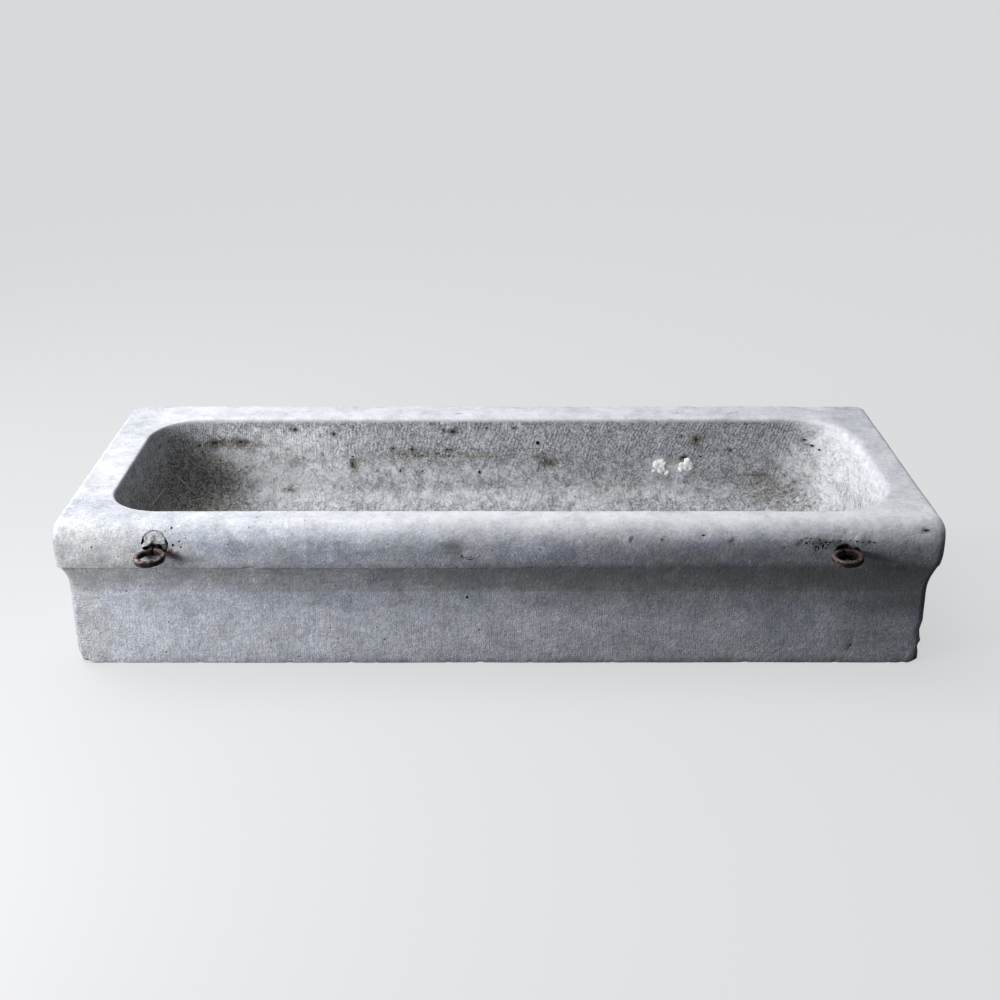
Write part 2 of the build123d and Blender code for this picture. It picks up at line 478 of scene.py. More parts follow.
def makeWroughtIron():
    material, tree, coords = startMaterial("wroughtIronRusted")
    masks = {name: cloud(tree, coords, **shape) for name, shape in ironClouds.items()}
    normal = addNode(tree, "ShaderNodeNewGeometry").outputs["Normal"]
    facing = addNode(tree, "ShaderNodeSeparateXYZ", {0: normal}).outputs[2]
    for name, (start, full) in ironFacings.items():
        masks[name] = addNode(tree, "ShaderNodeMapRange", {
            "Value": facing, "From Min": start, "From Max": full})
    masks["dustAndPaintedLight"] = both(tree, masks["dustAndPaintedLight"], masks["upward"])
    for name in ("bloomAndPaintedLight", "dustAndPaintedLight"):
        masks[name] = both(tree, masks[name], readMark(tree, name))
    endMaterial(tree, wroughtIron, masks, ironCoats, ironReliefs)
    return material


# Lead, run in molten and caulked down, dulled to a pale grey carbonate with a little metal showing
lead = {
    "body": "#7d7e82",
    "carbonate": "#a9aaae",
    "dirt": "#55534f",
    "moss": "#42443e",
    "cracks": {"size": 11, "width": 0.9},
    "finish": {"Metallic": 0.25, "Roughness": 0.6},
}
leadClouds = {
    "dents": {"size": 5, "low": 0.35, "high": 0.65},
    "carbonate": {"size": 8, "low": 0.35, "high": 0.55, "detail": 5},
    "soiled": {"size": 4, "low": 0.6, "high": 0.72, "shift": 6},
}
leadCoats = [("carbonate", 0.85, "carbonate"), ("soiled", 0.6, "dirt"), ("cracks", 0.5, "dirt"),
             ("moss", 0.9, "moss")]
leadReliefs = [("dents", -0.5)]


def makeLead():
    material, tree, coords = startMaterial("leadDulled")
    masks = {name: cloud(tree, coords, **shape) for name, shape in leadClouds.items()}
    masks["cracks"] = threads(tree, coords, **lead["cracks"])
    masks["moss"] = readMark(tree, "dirt")
    endMaterial(tree, lead, masks, leadCoats, leadReliefs)
    return material


stoneFinish = makeBluestone()
soilFinish = makePatched("soilPackedInHoles", packedSoil)
ironFinish = makeWroughtIron()
leadFinish = makeLead()
crustFinish = makePatched("limeCrust", limeDeposit)
rootFinish = makePatched("driedRoot", driedRoot)
print("materials made")


# The block's own sizes come from the CAD frame, in millimetres
blockLow, blockHigh = [Vector(v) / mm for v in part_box("trough_block")]
blockLength = blockHigh.x - blockLow.x
blockWidth = blockHigh.y - blockLow.y
blockHeight = blockHigh.z - blockLow.z
frontLip = -blockWidth / 2

# Moulding of each side, with drops from the top and insets from the lip, in millimetres
crispFront = {"reach": 34, "rollDrop": 42, "lipDrop": 52, "quirkDrop": 84, "tuck": 2.6, "step": 2.4,
              "coveDrop": 136, "covePower": 2.3, "setback": 16, "foot": 16}
softFront = {**crispFront, "reach": 36, "tuck": 4.5, "step": 0.5, "covePower": 1.9}
leftEnd = {**crispFront, "reach": 14, "rollDrop": 20, "tuck": 0.6, "step": 1.6, "covePower": 2.7}
rightEnd = {**crispFront, "reach": 14, "rollDrop": 20, "tuck": 3.4, "step": 0.4,
            "covePower": 1.7, "setback": 17.5, "foot": 15}
plainBack = {**crispFront, "reach": 3, "rollDrop": 3, "tuck": 0, "step": 0, "setback": 0, "foot": 0}

# Basin, with its rims and arrises in the order front, right, back, left, and its corners in plan in
# the order front left, front right, back right, back left. At the rim they are eased by cornerEase,
# and the rows of the floor stop short of its middle by floorGap.
basin = {"rims": (62, 67, 79, 76), "arrises": (4, 14, 5, 4), "batter": 9.0, "depth": 186.0,
         "corners": (96, 128, 118, 112), "floorRounding": 66.0, "floorGap": 12, "cornerEase": 6,
         "smallestCorner": 6.0}
rollCorners = (13, 16, 16, 24)
plinthCorners = (8, 14, 8, 8)
cornerTurn = (85, 135)  # the drops between which the roll's corners pass into those of the plinth
softening = (-250, 450)  # where along the front its crisp moulding passes into the soft one
baseRounding = 2.5
# the left end is cut a little out of square, so it stands out by this much at the back
outOfSquare = 4.0
weather = {"Waviness": 0.9, "Waviness Size": 260.0, "Dressing": 0.3, "Dressing Size": 38.0,
           "Grain": 0.2, "Grain Size": 10.0, "Chipping": 8.0, "Chip Size": 24.0}
rowCounts = {"base": 3, "plinth": 14, "cove": 12, "tuck": 6, "roll": 20, "rim": 6,
             "arris": 6, "wall": 20, "fillet": 9, "floor": 5}


# How far the moulded face stands in from the lip at each drop
def mouldedInset(side, drops):
    quirk, coveEnd = side["quirkDrop"], side["coveDrop"]
    roll = side["reach"] * (1 - np.sqrt(1 - np.clip(1 - drops / side["rollDrop"], 0, 1) ** 2))
    tuck = side["tuck"] * np.clip((drops - side["lipDrop"]) / (quirk - side["lipDrop"]), 0, 1) ** 2
    step = side["step"] * smooth((drops - quirk + 0.6) / 1.2)
    down = np.clip((drops - quirk) / (coveEnd - quirk), 0, 1)
    cove = (side["setback"] - side["tuck"] - side["step"]) * (1 - (1 - down) ** side["covePower"])
    below = np.clip((drops - coveEnd) / (blockHeight - coveEnd), 0, 1)
    plinth = (side["foot"] - side["setback"]) * below
    turned = np.clip(1 - (blockHeight - drops) / baseRounding, 0, 1)
    return roll + tuck + step + cove + plinth + baseRounding * (1 - np.sqrt(1 - turned ** 2))


# Heights of the outer rows as drops from the top, closest together where the moulding turns
def makeDrops():
    n = rowCounts
    turn = math.pi / 2
    quirk, coveEnd = crispFront["quirkDrop"], crispFront["coveDrop"]
    nearQuirk = 0.8
    return np.concatenate([
        blockHeight - baseRounding * (1 - np.cos(np.linspace(0, turn, n["base"] + 1))),
        np.linspace(blockHeight - baseRounding, coveEnd, n["plinth"] + 1)[1:],
        quirk + nearQuirk + (coveEnd - quirk - nearQuirk) * np.linspace(1, 0, n["cove"] + 1)[1:] ** 1.3,
        np.linspace(quirk - nearQuirk, crispFront["lipDrop"], n["tuck"] + 1),
        crispFront["rollDrop"] * (1 - np.sin(np.linspace(0, turn, n["roll"] + 1))),
    ])


# Rows of the block from the edge of its base, up the outside, over the rim and down into the basin.
# Each row gives the insets of the front (crisp and soft), right, back and left, the heights and the corners.
def makeRows():
    n = rowCounts
    drops = makeDrops()
    sides = [mouldedInset(side, drops) for side in (crispFront, softFront, rightEnd, plainBack, leftEnd)]
    rows = []
    for i, drop in enumerate(drops):
        onPlinth = float(ramp(drop, *cornerTurn))
        corners = [mix(a, b, onPlinth) for a, b in zip(rollCorners, plinthCorners)]
        rows.append(([side[i] for side in sides], [blockHeight - drop] * 5, corners, "outside"))

    rims = np.array([basin["rims"][0], *basin["rims"]], float)
    arrises = np.array([basin["arrises"][0], *basin["arrises"]], float)
    batter = math.radians(basin["batter"])
    slope = math.pi / 2 - batter
    tangent = math.tan(slope / 2)
    mouth = rims - arrises * tangent
    outer = np.array([side[-1] for side in sides])
    for t in np.linspace(0, 1, n["rim"] + 2)[1:-1]:
        corners = [mix(a, b + basin["cornerEase"], t) for a, b in zip(rollCorners, basin["corners"])]
        rows.append((mix(outer, mouth, t), [blockHeight] * 5, corners, "rim"))

    def addRow(insets, heights, region):
        tighter = float(np.mean(insets - rims))
        corners = [max(radius - tighter, basin["smallestCorner"]) for radius in basin["corners"]]
        rows.append((insets, heights, corners, region))

    for angle in np.linspace(0, slope, n["arris"] + 1):
        addRow(mouth + arrises * math.sin(angle), blockHeight - arrises * (1 - math.cos(angle)), "rim")
    floorHeight = blockHeight - basin["depth"]
    rounding = basin["floorRounding"]
    foot = rims + basin["depth"] * math.tan(batter)
    floorEdge = foot + rounding * tangent
    wallTop, wallHeights = rows[-1][:2]
    wallEnd = floorEdge - rounding * math.cos(batter)
    wallFoot = floorHeight + rounding * (1 - math.sin(batter))
    for t in np.linspace(0, 1, n["wall"] + 1)[1:]:
        addRow(mix(wallTop, wallEnd, t), mix(wallHeights, wallFoot, t), "basin")
    for angle in np.linspace(slope, 0, n["fillet"] + 1)[1:]:
        height = floorHeight + rounding * (1 - math.cos(angle))
        addRow(floorEdge - rounding * math.sin(angle), [height] * 5, "basin")
    middle = blockWidth / 2 - basin["rims"][0] / 2 - basin["rims"][2] / 2
    reach = middle - basin["depth"] * math.tan(batter) - rounding * tangent - basin["floorGap"]
    for t in np.linspace(0, 1, n["floor"] + 1)[1:]:
        addRow(floorEdge + reach * t, [floorHeight] * 5, "basin")
    return rows


# Columns run round the block from the front left corner, closer together at the two eyes
columns = {"front": 4.3, "nearEye": 1.6, "back": 8.0, "end": 8.0, "corner": 14, "eyePlace": 598,
           "eyeZone": 42, "samples": 4001}


def makeColumns():
    c = columns
    fine = np.linspace(-blockLength / 2, blockLength / 2, c["samples"])
    gap = np.where(np.abs(np.abs(fine) - c["eyePlace"]) < c["eyeZone"], c["nearEye"], c["front"])
    count = np.concatenate([[0], np.cumsum(np.diff(fine) / gap[1:])])

    def shares(n):
        return np.arange(n) / n

    side = {
        "front": np.interp(shares(int(count[-1])), count / count[-1], np.linspace(0, 1, c["samples"])),
        "right": shares(round(blockWidth / c["end"])),
        "back": shares(round(blockLength / c["back"])),
    }
    side["left"] = side["right"]
    made = []
    for name, corner in (("front", 1), ("right", 2), ("back", 3), ("left", 0)):
        made += [(name, t, corner) for t in side[name]]
        made += [("corner", t, corner) for t in shares(c["corner"])]
    return made


# Places one row's points, with the two front mouldings mixed along the length
def placeRow(row, cols):
    (crisp, soft, right, back, left), heights, (fl, fr, br, bl), _ = row
    x0, x1 = -blockLength / 2 + left, blockLength / 2 - right
    yCrisp, ySoft, y1 = frontLip + crisp, frontLip + soft, blockWidth / 2 - back
    turns = [
        (x0 + fl, yCrisp + fl, fl, heights[4], heights[0]),
        (x1 - fr, ySoft + fr, fr, heights[1], heights[2]),
        (x1 - br, y1 - br, br, heights[2], heights[3]),
        (x0 + bl, y1 - bl, bl, heights[3], heights[4]),
    ]
    points = []
    for name, t, corner in cols:
        if name == "front":
            x = x0 + fl + t * (x1 - x0 - fl - fr)
            soften = float(ramp(x, *softening))
            points.append((x, mix(yCrisp, ySoft, soften), mix(heights[0], heights[1], soften)))
        elif name == "right":
            points.append((x1, ySoft + fr + t * (y1 - ySoft - fr - br), heights[2]))
        elif name == "back":
            points.append((x1 - br - t * (x1 - x0 - br - bl), y1, heights[3]))
        elif name == "left":
            points.append((x0, y1 - bl - t * (y1 - yCrisp - bl - fl), heights[4]))
        else:
            cx, cy, radius, before, after = turns[corner]
            angle = math.radians(90) * (t + corner - 2)
            points.append((cx + radius * math.cos(angle), cy + radius * math.sin(angle),
                           mix(before, after, float(smooth(t)))))
    return points


# Stains and marks: place, size and strength, in millimetres
stoneMarks = {
    "soil": [
        # The patches at x -680 and -700 on the basin's left end wall are soil and also painted shade there.
        (-605, 215, 152, 80, 60, 56, 0.7), (-680, 120, 150, 60, 160, 74, 0.76),
        (-560, 226, 229, 75, 20, 12, 0.78), (-700, -60, 160, 50, 110, 78, 0.8),
        (-640, 200, 110, 70, 60, 30, 0.45), (-570, 205, 100, 60, 60, 22, 0.45),
        (-690, 215, 206, 46, 40, 24, 0.64), (-436, 211, 133, 16, 20, 8, 0.8),
        (-190, 222, 205, 55, 20, 9, 0.5), (-85, 221, 203, 160, 20, 11, 0.5),
        (104, 219, 190, 24, 20, 16, 0.8), (140, 220, 196, 12, 20, 9, 0.6),
        (-307, 219, 186, 12, 20, 20, 0.6), (410, 227, 235, 22, 20, 16, 0.75),
        (480, 224, 214, 14, 20, 12, 0.6), (395, 221, 190, 30, 20, 12, 0.7),
        (545, 214, 155, 90, 40, 26, 0.45), (600, 210, 120, 80, 60, 24, 0.5),
        (655, 220, 190, 40, 30, 30, 0.45), (690, -20, 190, 40, 90, 30, 0.32),
        (690, 100, 170, 40, 60, 30, 0.28), (250, 210, 145, 200, 30, 30, 0.3),
        (-250, 215, 160, 120, 30, 30, 0.2), (-430, 218, 196, 90, 30, 18, 0.25),
        (715, -120, 215, 30, 60, 30, 0.34), (-520, -60, 94, 240, 150, 24, 0.45),
        (340, 50, 94, 220, 110, 24, 0.3),
    ],
    "stainAndPaintedShadow": [
        (643, 226, 229, 26, 20, 7, 0.9), (628, 228, 238, 12, 20, 6, 0.7), (692, 227, 234, 8, 20, 12, 0.6),
        (-95, 230, 253, 16, 20, 10, 0.8), (-116, 230, 255, 6, 20, 5, 0.8),
        (-426, 230, 258, 11, 20, 7, 0.9), (-591, 226, 229, 28, 20, 10, 0.8),
        (-537, 226, 231, 20, 20, 11, 0.8), (-344, 229, 247, 7, 20, 9, 0.8),
        (-307, 219, 186, 8, 20, 14, 0.8), (542, 215, 161, 46, 20, 3.5, 0.8),
        (-45, 231, 260, 14, 20, 5, 0.6), (30, 231, 260, 12, 20, 5, 0.6), (-221, 224, 217, 10, 20, 7, 0.7),
        (-181, 224, 216, 10, 20, 8, 0.8), (-108, 224, 215, 16, 20, 6, 0.7),
        (408, 227, 235, 12, 20, 14, 0.8), (384, 219, 199, 12, 20, 7, 0.9),
        (-437, 211, 133, 18, 20, 6, 0.7), (104, 219, 186, 22, 20, 10, 0.6), (-42, 216, 168, 5, 20, 8, 0.7),
        (558, -310, 244, 17, 20, 9, 0.55), (598, -310, 246, 34, 20, 5, 0.6),
        (585, -310, 238, 8, 20, 12, 0.5), (642, -309, 246, 12, 20, 5, 0.5),
        (739, -300, 265, 10, 20, 5, 0.8), (-560, -310, 228, 14, 20, 6, 0.4),
        (488, 265, 280, 14, 9, 20, 0.5), (374, 270, 280, 9, 7, 20, 0.8), (-84, 268, 280, 16, 6, 20, 0.5),
        (130, 250, 280, 14, 5, 20, 0.5), (-58, -310, 217, 14, 20, 2.5, 0.8),
        (-190, -310, 214, 40, 20, 3, 0.5), (226, -309, 251, 4, 20, 5, 0.85),
        (230, -309, 256, 3, 20, 4, 0.7), (281, -309, 252, 4, 20, 5, 0.8), (286, -309, 256, 4, 20, 3, 0.6),
        (399, -309, 249, 5, 20, 4, 0.85), (404, -309, 253, 3, 20, 3, 0.7), (516, -309, 243, 5, 20, 5, 0.8),
        (523, -309, 249, 5, 20, 4, 0.8), (531, -309, 254, 5, 20, 3, 0.6), (490, -310, 239, 7, 20, 3, 0.6),
        # the first two marks here paint the shadow seen through the holes of the left and right rings
        (-606, -311, 220, 12, 20, 5, 0.9), (604, -311, 219, 14, 20, 8, 0.95),
        (606, -311, 236, 30, 20, 8, 0.5), (640, -309, 226, 14, 20, 14, 0.35),
        (-560, 307, 280, 10, 5, 20, 0.6), (-250, 307, 280, 14, 5, 20, 0.6), (40, 308, 280, 12, 4, 20, 0.6),
        (160, 308, 280, 8, 4, 20, 0.6), (420, 308, 280, 11, 4, 20, 0.6), (640, 307, 280, 12, 5, 20, 0.5),
    ],
    "lime": [
        (700, 0, 220, 70, 260, 80, 0.95), (690, 160, 200, 60, 90, 80, 0.85),
        (620, 215, 150, 60, 60, 60, 0.4), (334, 219, 178, 30, 20, 22, 0.75),
        (388, 219, 176, 26, 20, 20, 0.7), (-224, 217, 173, 7, 20, 5, 0.9),
        (-470, 218, 170, 120, 40, 34, 0.56), (-330, 218, 172, 110, 40, 30, 0.58),
        (-440, 226, 232, 170, 30, 34, 0.56), (0, 216, 168, 180, 30, 26, 0.36),
        (-170, 216, 158, 120, 40, 20, 0.3), (330, 210, 128, 280, 30, 34, 0.5),
        (620, 215, 190, 50, 40, 40, 0.4), (-270, 207, 113, 8, 30, 8, 0.9),
        (-440, 210, 125, 90, 40, 34, 0.85), (-120, 210, 112, 360, 40, 24, 0.6),
        (60, 210, 135, 20, 30, 10, 0.5), (-560, 221, 197, 60, 30, 14, 0.4),
    ],
    "rust": [
        (-571, -312, 229, 9, 16, 11, 1.0), (-563, -312, 221, 14, 20, 6, 0.8),
        (570, -312, 222, 8, 16, 6, 0.3),
    ],
    "bleached": [
        (-735, -305, 235, 190, 60, 60, 0.85), (-745, -305, 80, 60, 60, 130, 0.7),
        (-560, -305, 180, 230, 60, 26, 0.5),
    ],
    "grimeAndPaintedShade": [
        (-765, -300, 235, 30, 40, 30, 0.5), (-525, -310, 215, 50, 30, 9, 0.5),
        (640, -305, 216, 60, 30, 12, 0.4), (766, -300, 150, 14, 40, 50, 0.8),
        (-84, -311, 240, 26, 30, 12, 0.75), (-100, -311, 228, 40, 30, 8, 0.5),
    ],
}


# patches laid over each other without ever passing 1
def joinPatches(points, marks):
    clear = np.ones(len(points))
    for x, y, z, rx, ry, rz, strength in marks:
        clear *= 1 - strength * patch(points, (x, y, z), (rx, ry, rz))
    return 1 - clear


# How strong some marks are: places along the block, or down it from the top, and amounts there
courses = {
    "wearAndShadeAlong": ([-700, -620, -520, -300, -60], [0.5, 0.56, 0.72, 0.74, 1.0]),
    "coveAlong": ([-600, -200, 100], [0.5, 0.8, 1.0]),
    "grimeAndShadeDown": ([40, 62, 80, 90, 112, 140, 190, 262, 274, 280],
                  [0, 0.4, 0.8, 1, 0.88, 0.32, 0.08, 0.1, 0.5, 0.7]),
    "grimeAndShadeAlong": ([-775, -450, -200, 0, 400, 650], [0.36, 0.4, 0.56, 0.7, 0.9, 0.95]),
    "onRollAlong": ([-700, -640, -430, -180, -60, 40, 200, 400, 690, 775],
                    [0, 0.05, 0.22, 0.22, 0.04, 0.0, 0.22, 0.4, 0.34, 0.2]),
    "underCoveAlong": ([-640, -430, -260, -120, 0, 150, 400, 560, 690],
                       [0.0, 0.0, 0.24, 0.16, 0.06, 0.3, 0.26, 0.3, 0.5]),
}
# Where some marks fade, from 0 at the first place to 1 at the second: along the block, across it, up it,
# or down it from its top
fades = {
    "wearAtFront": (-150, -230), "wearAtEnds": (680, 710), "wearBehindFront": (-270, -230),
    "wearBackRight": (250, 450), "rollTop": (25, 35), "rollFoot": (70, 54), "grimeAndShadeAtRight": (560, 650),
    "belowCove": (140, 160), "aboveBase": (260, 245), "onBack": (300, 308), "wideLedge": (560, 660),
    "edgeDirtRight": (620, 590), "edgeDirtLeft": (-600, -540), "soilTop": (277, 267), "limeTop": (0, 8),
    "coveTop": (70, 84), "coveFoot": (165, 151), "plinthTop": (122, 130), "paintedLightDown": (130, 220),
    "paintedLightAlong": (20, 600), "leanAlong": (-450, 250), "plinthStrokes": (125, 145),
    "wallLeft": (-690, -620), "wallRight": (660, 600), "wallUp": (188, 218),
    "strongerMiddle": (-350, -100), "strongerRight": (250, 400), "closerLeft": (-300, -500),
}
# Narrow strips, as their middle and reach, down from the top or up from the base
strips = {"underEdge": (9, 3.5), "underCove": (152, 28), "quirk": (84, 5), "baseEdge": (0, 7)}
# How worn the rim, the roll and the basin's mouth are, how far down the roll's wear fades out, what share
# of it the ends and the back lose, and how far down the basin's wall it reaches, more so at the right
wearing = {"rim": 0.95, "roll": 0.9, "rollFade": 55, "mouth": 0.95, "endsLose": 0.26, "backLoses": 0.08,
           "backRightLoses": 0.1, "backFrom": 100, "ledge": 8, "wideLedge": 26, "mouthReach": 1.6}
# How much painted shade darkens the outside at the right, how dirty the whole basin, its soiled spots and the
# wall under its edge are, what the back is spared of the grime and painted shade, how much lime the rim has,
# and how far down the basin's own finish starts
dirtying = {"right": 0.2, "allOver": 0.1, "spots": 0.8, "underEdge": 0.5, "underEdgeFrom": 200,
            "backSpared": 0.8, "limedRim": 0.6, "cleanTop": 3}
# How easily the edges chip
chipping = {"base": 0.5, "quirk": 0.4, "back": 0.6, "backReach": 12}
# Painted light on the plinth, standing in for light bounced up from the floor: how pale it is at least, how
# much it gains downwards and loses to the right
plinthPaintedLight = {"least": 0.3, "down": 0.7, "along": 0.7}
# How close the strokes stand on the plinth and on the margin at its left, how wide that margin is and how
# it is set off, how strong they are there and on the wall, how they lean, and how much closer they stand
# at the left
stroking = {"plinth": 1.9, "margin": 1.3, "marginWidth": 52, "marginTop": 124, "onMargin": 0.4,
            "onPlinth": 0.12, "lowWall": 0.2, "highWall": 0.62, "middle": 0.1, "right": 0.4,
            "lean": 0.05, "leanGains": 0.4, "marginFade": 8, "marginGap": 0.6, "closerLeft": 0.6}


def course(name, at):
    return np.interp(at, *courses[name])


def fade(name, at):
    return ramp(at, *fades[name])


def strip(name, at):
    return bump(at, *strips[name])


# how much the edges are worn: at the front least at the left, where the lesser wear also darkens the rim as
# painted shade, and at the ends and the back right less than in the middle
def wearShare(x, y):
    share = 1 - (1 - course("wearAndShadeAlong", x)) * fade("wearAtFront", y)
    ends = wearing["endsLose"] * fade("wearAtEnds", np.abs(x)) * fade("wearBehindFront", y)
    back = wearing["backLoses"] + wearing["backRightLoses"] * fade("wearBackRight", x)
    return share * (1 - ends - back * (y > wearing["backFrom"]))


# grime and painted shade on the outside: darker under the roll, on it, under the cove and at the right of the
# plinth, where shade falls
def grimeAndShadeOutside(x, drop, onBack):
    grimeAndPaintedShade = course("grimeAndShadeDown", drop) * course("grimeAndShadeAlong", x)
    grimeAndPaintedShade += course("onRollAlong", x) * fade("rollTop", drop) * fade("rollFoot", drop)
    grimeAndPaintedShade += course("underCoveAlong", x) * strip("underCove", drop)
    grimeAndPaintedShade += dirtying["right"] * fade("grimeAndShadeAtRight", x) * fade("belowCove", drop) * fade("aboveBase", drop)
    return grimeAndPaintedShade * (1 - dirtying["backSpared"] * onBack)


# Attributes that the stone's finish and its weathering read
def markStone(mesh, points, regions, around):
    x, y, z = points.T
    inBasin = (regions == "basin").astype(float)
    onRim = (regions == "rim").astype(float)
    outside = (1 - inBasin) * (1 - onRim)
    onBack = fade("onBack", y)
    drop = blockHeight - z

    # how far down the basin's wall the wear of its edge reaches
    ledge = wearing["ledge"] + wearing["wideLedge"] * fade("wideLedge", x)
    worn = onRim * wearing["rim"] + outside * np.clip(wearing["roll"] - drop / wearing["rollFade"], 0, 1)
    worn += inBasin * np.clip(wearing["mouth"] - drop / (wearing["mouthReach"] * ledge), 0, 1)
    addAttribute(mesh, "worn", worn * wearShare(x, y))

    addAttribute(mesh, "basin", inBasin * smooth((drop - dirtying["cleanTop"]) / ledge))
    underEdge = dirtying["underEdge"] * strip("underEdge", drop) * fade("edgeDirtRight", x)
    underEdge *= fade("edgeDirtLeft", x) * (y > dirtying["underEdgeFrom"])
    soil = dirtying["allOver"] + dirtying["spots"] * joinPatches(points, stoneMarks["soil"])
    addAttribute(mesh, "soil", inBasin * np.maximum(soil, underEdge) * fade("soilTop", z))
    limed = np.maximum(inBasin, dirtying["limedRim"] * onRim * fade("limeTop", drop))
    for name, ground in (("stainAndPaintedShadow", 1.0), ("lime", limed), ("bleached", outside), ("rust", outside)):
        addAttribute(mesh, name, ground * joinPatches(points, stoneMarks[name]))
    # grime, with painted shade under the roll and the cove and towards the right
    grimeAndPaintedShade = np.maximum(grimeAndShadeOutside(x, drop, onBack), joinPatches(points, stoneMarks["grimeAndPaintedShade"]))
    addAttribute(mesh, "grimeAndPaintedShade", outside * grimeAndPaintedShade)
    cove = fade("coveTop", drop) * fade("coveFoot", drop) * (1 - onBack) * course("coveAlong", x)
    addAttribute(mesh, "cove", outside * cove)

    # painted light: the plinth is paler downwards and towards the left
    paintedLight = plinthPaintedLight["least"] + plinthPaintedLight["down"] * fade("paintedLightDown", drop)
    paintedLight *= 1 - plinthPaintedLight["along"] * fade("paintedLightAlong", x)
    addAttribute(mesh, "plinth", outside * fade("plinthTop", drop) * paintedLight)
    edge = strip("baseEdge", z) * chipping["base"] + strip("quirk", drop) * chipping["quirk"]
    backEdge = bump(y, blockWidth / 2, chipping["backReach"]) * chipping["back"]
    addAttribute(mesh, "edge", outside * edge + onRim * backEdge)

    # strokes lean on the basin's walls, run upright on the plinth and level on its margin
    lean = stroking["lean"] + stroking["leanGains"] * fade("leanAlong", x)
    marginEdge = -blockLength / 2 + stroking["marginWidth"]
    margin = (x < marginEdge) & (drop > stroking["marginTop"])
    plinthStrokes = np.where(margin, z * stroking["margin"], around * stroking["plinth"])
    across = np.where(inBasin + onRim > 0, -around - lean * z, plinthStrokes)
    addAttribute(mesh, "strokeAcross", across * mm)
    offEdge = np.clip(np.abs(x - marginEdge) / stroking["marginFade"] - stroking["marginGap"], 0, 1)
    strength = np.where(margin, stroking["onMargin"], stroking["onPlinth"])
    onPlinth = outside * fade("plinthStrokes", drop) * strength * offEdge
    onWall = inBasin * fade("wallLeft", x) * fade("wallRight", x)
    high = stroking["highWall"] + stroking["middle"] * fade("strongerMiddle", x)
    high += stroking["right"] * fade("strongerRight", x)
    addAttribute(mesh, "strokes", onWall * (stroking["lowWall"] + fade("wallUp", z) * high) + onPlinth)


# Broken places: where, how wide and how deep, in millimetres
chips = [
    (631, -295, 35, 8, 3.0), (738, -303, 265, 9, 1.6), (757, -285, 60, 14, 4.0), (762, -285, 28, 16, 5.0),
    (758, -292, 1, 16, 5.0), (-758, -293, 1, 18, 7.0), (352, -306, 256, 9, 1.6), (560, -311, 243, 16, 2.5),
    (598, -310, 245, 22, 2.4), (640, -308, 247, 12, 2.0), (-436, 211, 133, 12, 3.0),
    (104, 219, 188, 18, 2.5), (643, 226, 229, 16, 2.5), (-65, -309, 221, 8, 2.5), (305, 266, 280, 8, 2.0),
    (376, 275, 280, 10, 2.5), (-85, 268, 280, 12, 1.8), (-70, 255, 280, 7, 1.4), (-560, 313, 280, 12, 2.0),
    (-250, 313, 280, 16, 2.5), (40, 313, 280, 14, 2.0), (420, 313, 280, 12, 2.5), (160, 313, 280, 10, 2.0),
    (-420, 313, 280, 9, 2.0), (640, 313, 280, 14, 1.8),
]
chipShape = {"reach": 2.2, "ragged": 0.45, "raggedSize": 0.5}  # all as shares of the width, or of 1


def breakChips(mesh, points):
    normals = np.zeros(len(points) * 3)
    mesh.vertex_normals.foreach_get("vector", normals)
    normals = normals.reshape(-1, 3)
    for x, y, z, width, depth in chips:
        away = points - np.array((x, y, z))
        near = np.nonzero(np.sum(away ** 2, axis=1) < (chipShape["reach"] * width) ** 2)[0]
        for i in near:
            wobble = noise.noise(Vector(points[i]) / (chipShape["raggedSize"] * width))
            ragged = 1 + chipShape["ragged"] * wobble
            far = np.linalg.norm(away[i]) / (width * ragged)
            points[i] -= normals[i] * depth * math.exp(-far ** 4)


# Weathering of the whole block: long waves, the mason's dressing, grain, and chipped edges
def makeWeatherTree():
    tree, given = startTree("weatherStone", weather, Seed="Float", Stone="Material")
    height = 0.0
    for label in ("Waviness", "Dressing", "Grain"):
        grain = grainNoise(tree, given[label + " Size"], 2.0, given["Seed"])
        swing = addNode(tree, "ShaderNodeMapRange", {
            "Value": grain, "From Min": 0.2, "From Max": 0.8, "To Min": -1.0, "To Max": 1.0})
        height = addNode(tree, "ShaderNodeMath", {
            0: swing, 1: given[label], 2: height}, operation="MULTIPLY_ADD")
    flakes = grainNoise(tree, given["Chip Size"], 3.0, given["Seed"])
    deep = addNode(tree, "ShaderNodeMapRange", {
        "Value": flakes, "From Min": 0.56, "From Max": 0.8, "To Min": 0.0, "To Max": -1.0})
    edge = addNode(tree, "GeometryNodeInputNamedAttribute", {"Name": "edge"}, data_type="FLOAT")
    chipped = both(tree, deep, edge)
    height = addNode(tree, "ShaderNodeMath", {
        0: chipped, 1: given["Chipping"], 2: height}, operation="MULTIPLY_ADD")
    outward = addNode(tree, "GeometryNodeInputNormal")
    shift = addNode(tree, "ShaderNodeVectorMath", {0: outward, "Scale": height}, operation="SCALE")
    place = addNode(tree, "GeometryNodeInputPosition")
    moved = addNode(tree, "ShaderNodeVectorMath", {0: place, 1: shift})
    parts = addNode(tree, "ShaderNodeSeparateXYZ", {0: moved}).outputs
    # nothing sinks below the floor
    height = addNode(tree, "ShaderNodeMath", {0: parts[2], 1: 0.0}, operation="MAXIMUM")
    place = addNode(tree, "ShaderNodeCombineXYZ", {0: parts[0], 1: parts[1], 2: height})
    worn = addNode(tree, "GeometryNodeSetPosition", {"Geometry": given["Geometry"], "Position": place})
    endTree(tree, worn, given["Stone"])
    return tree


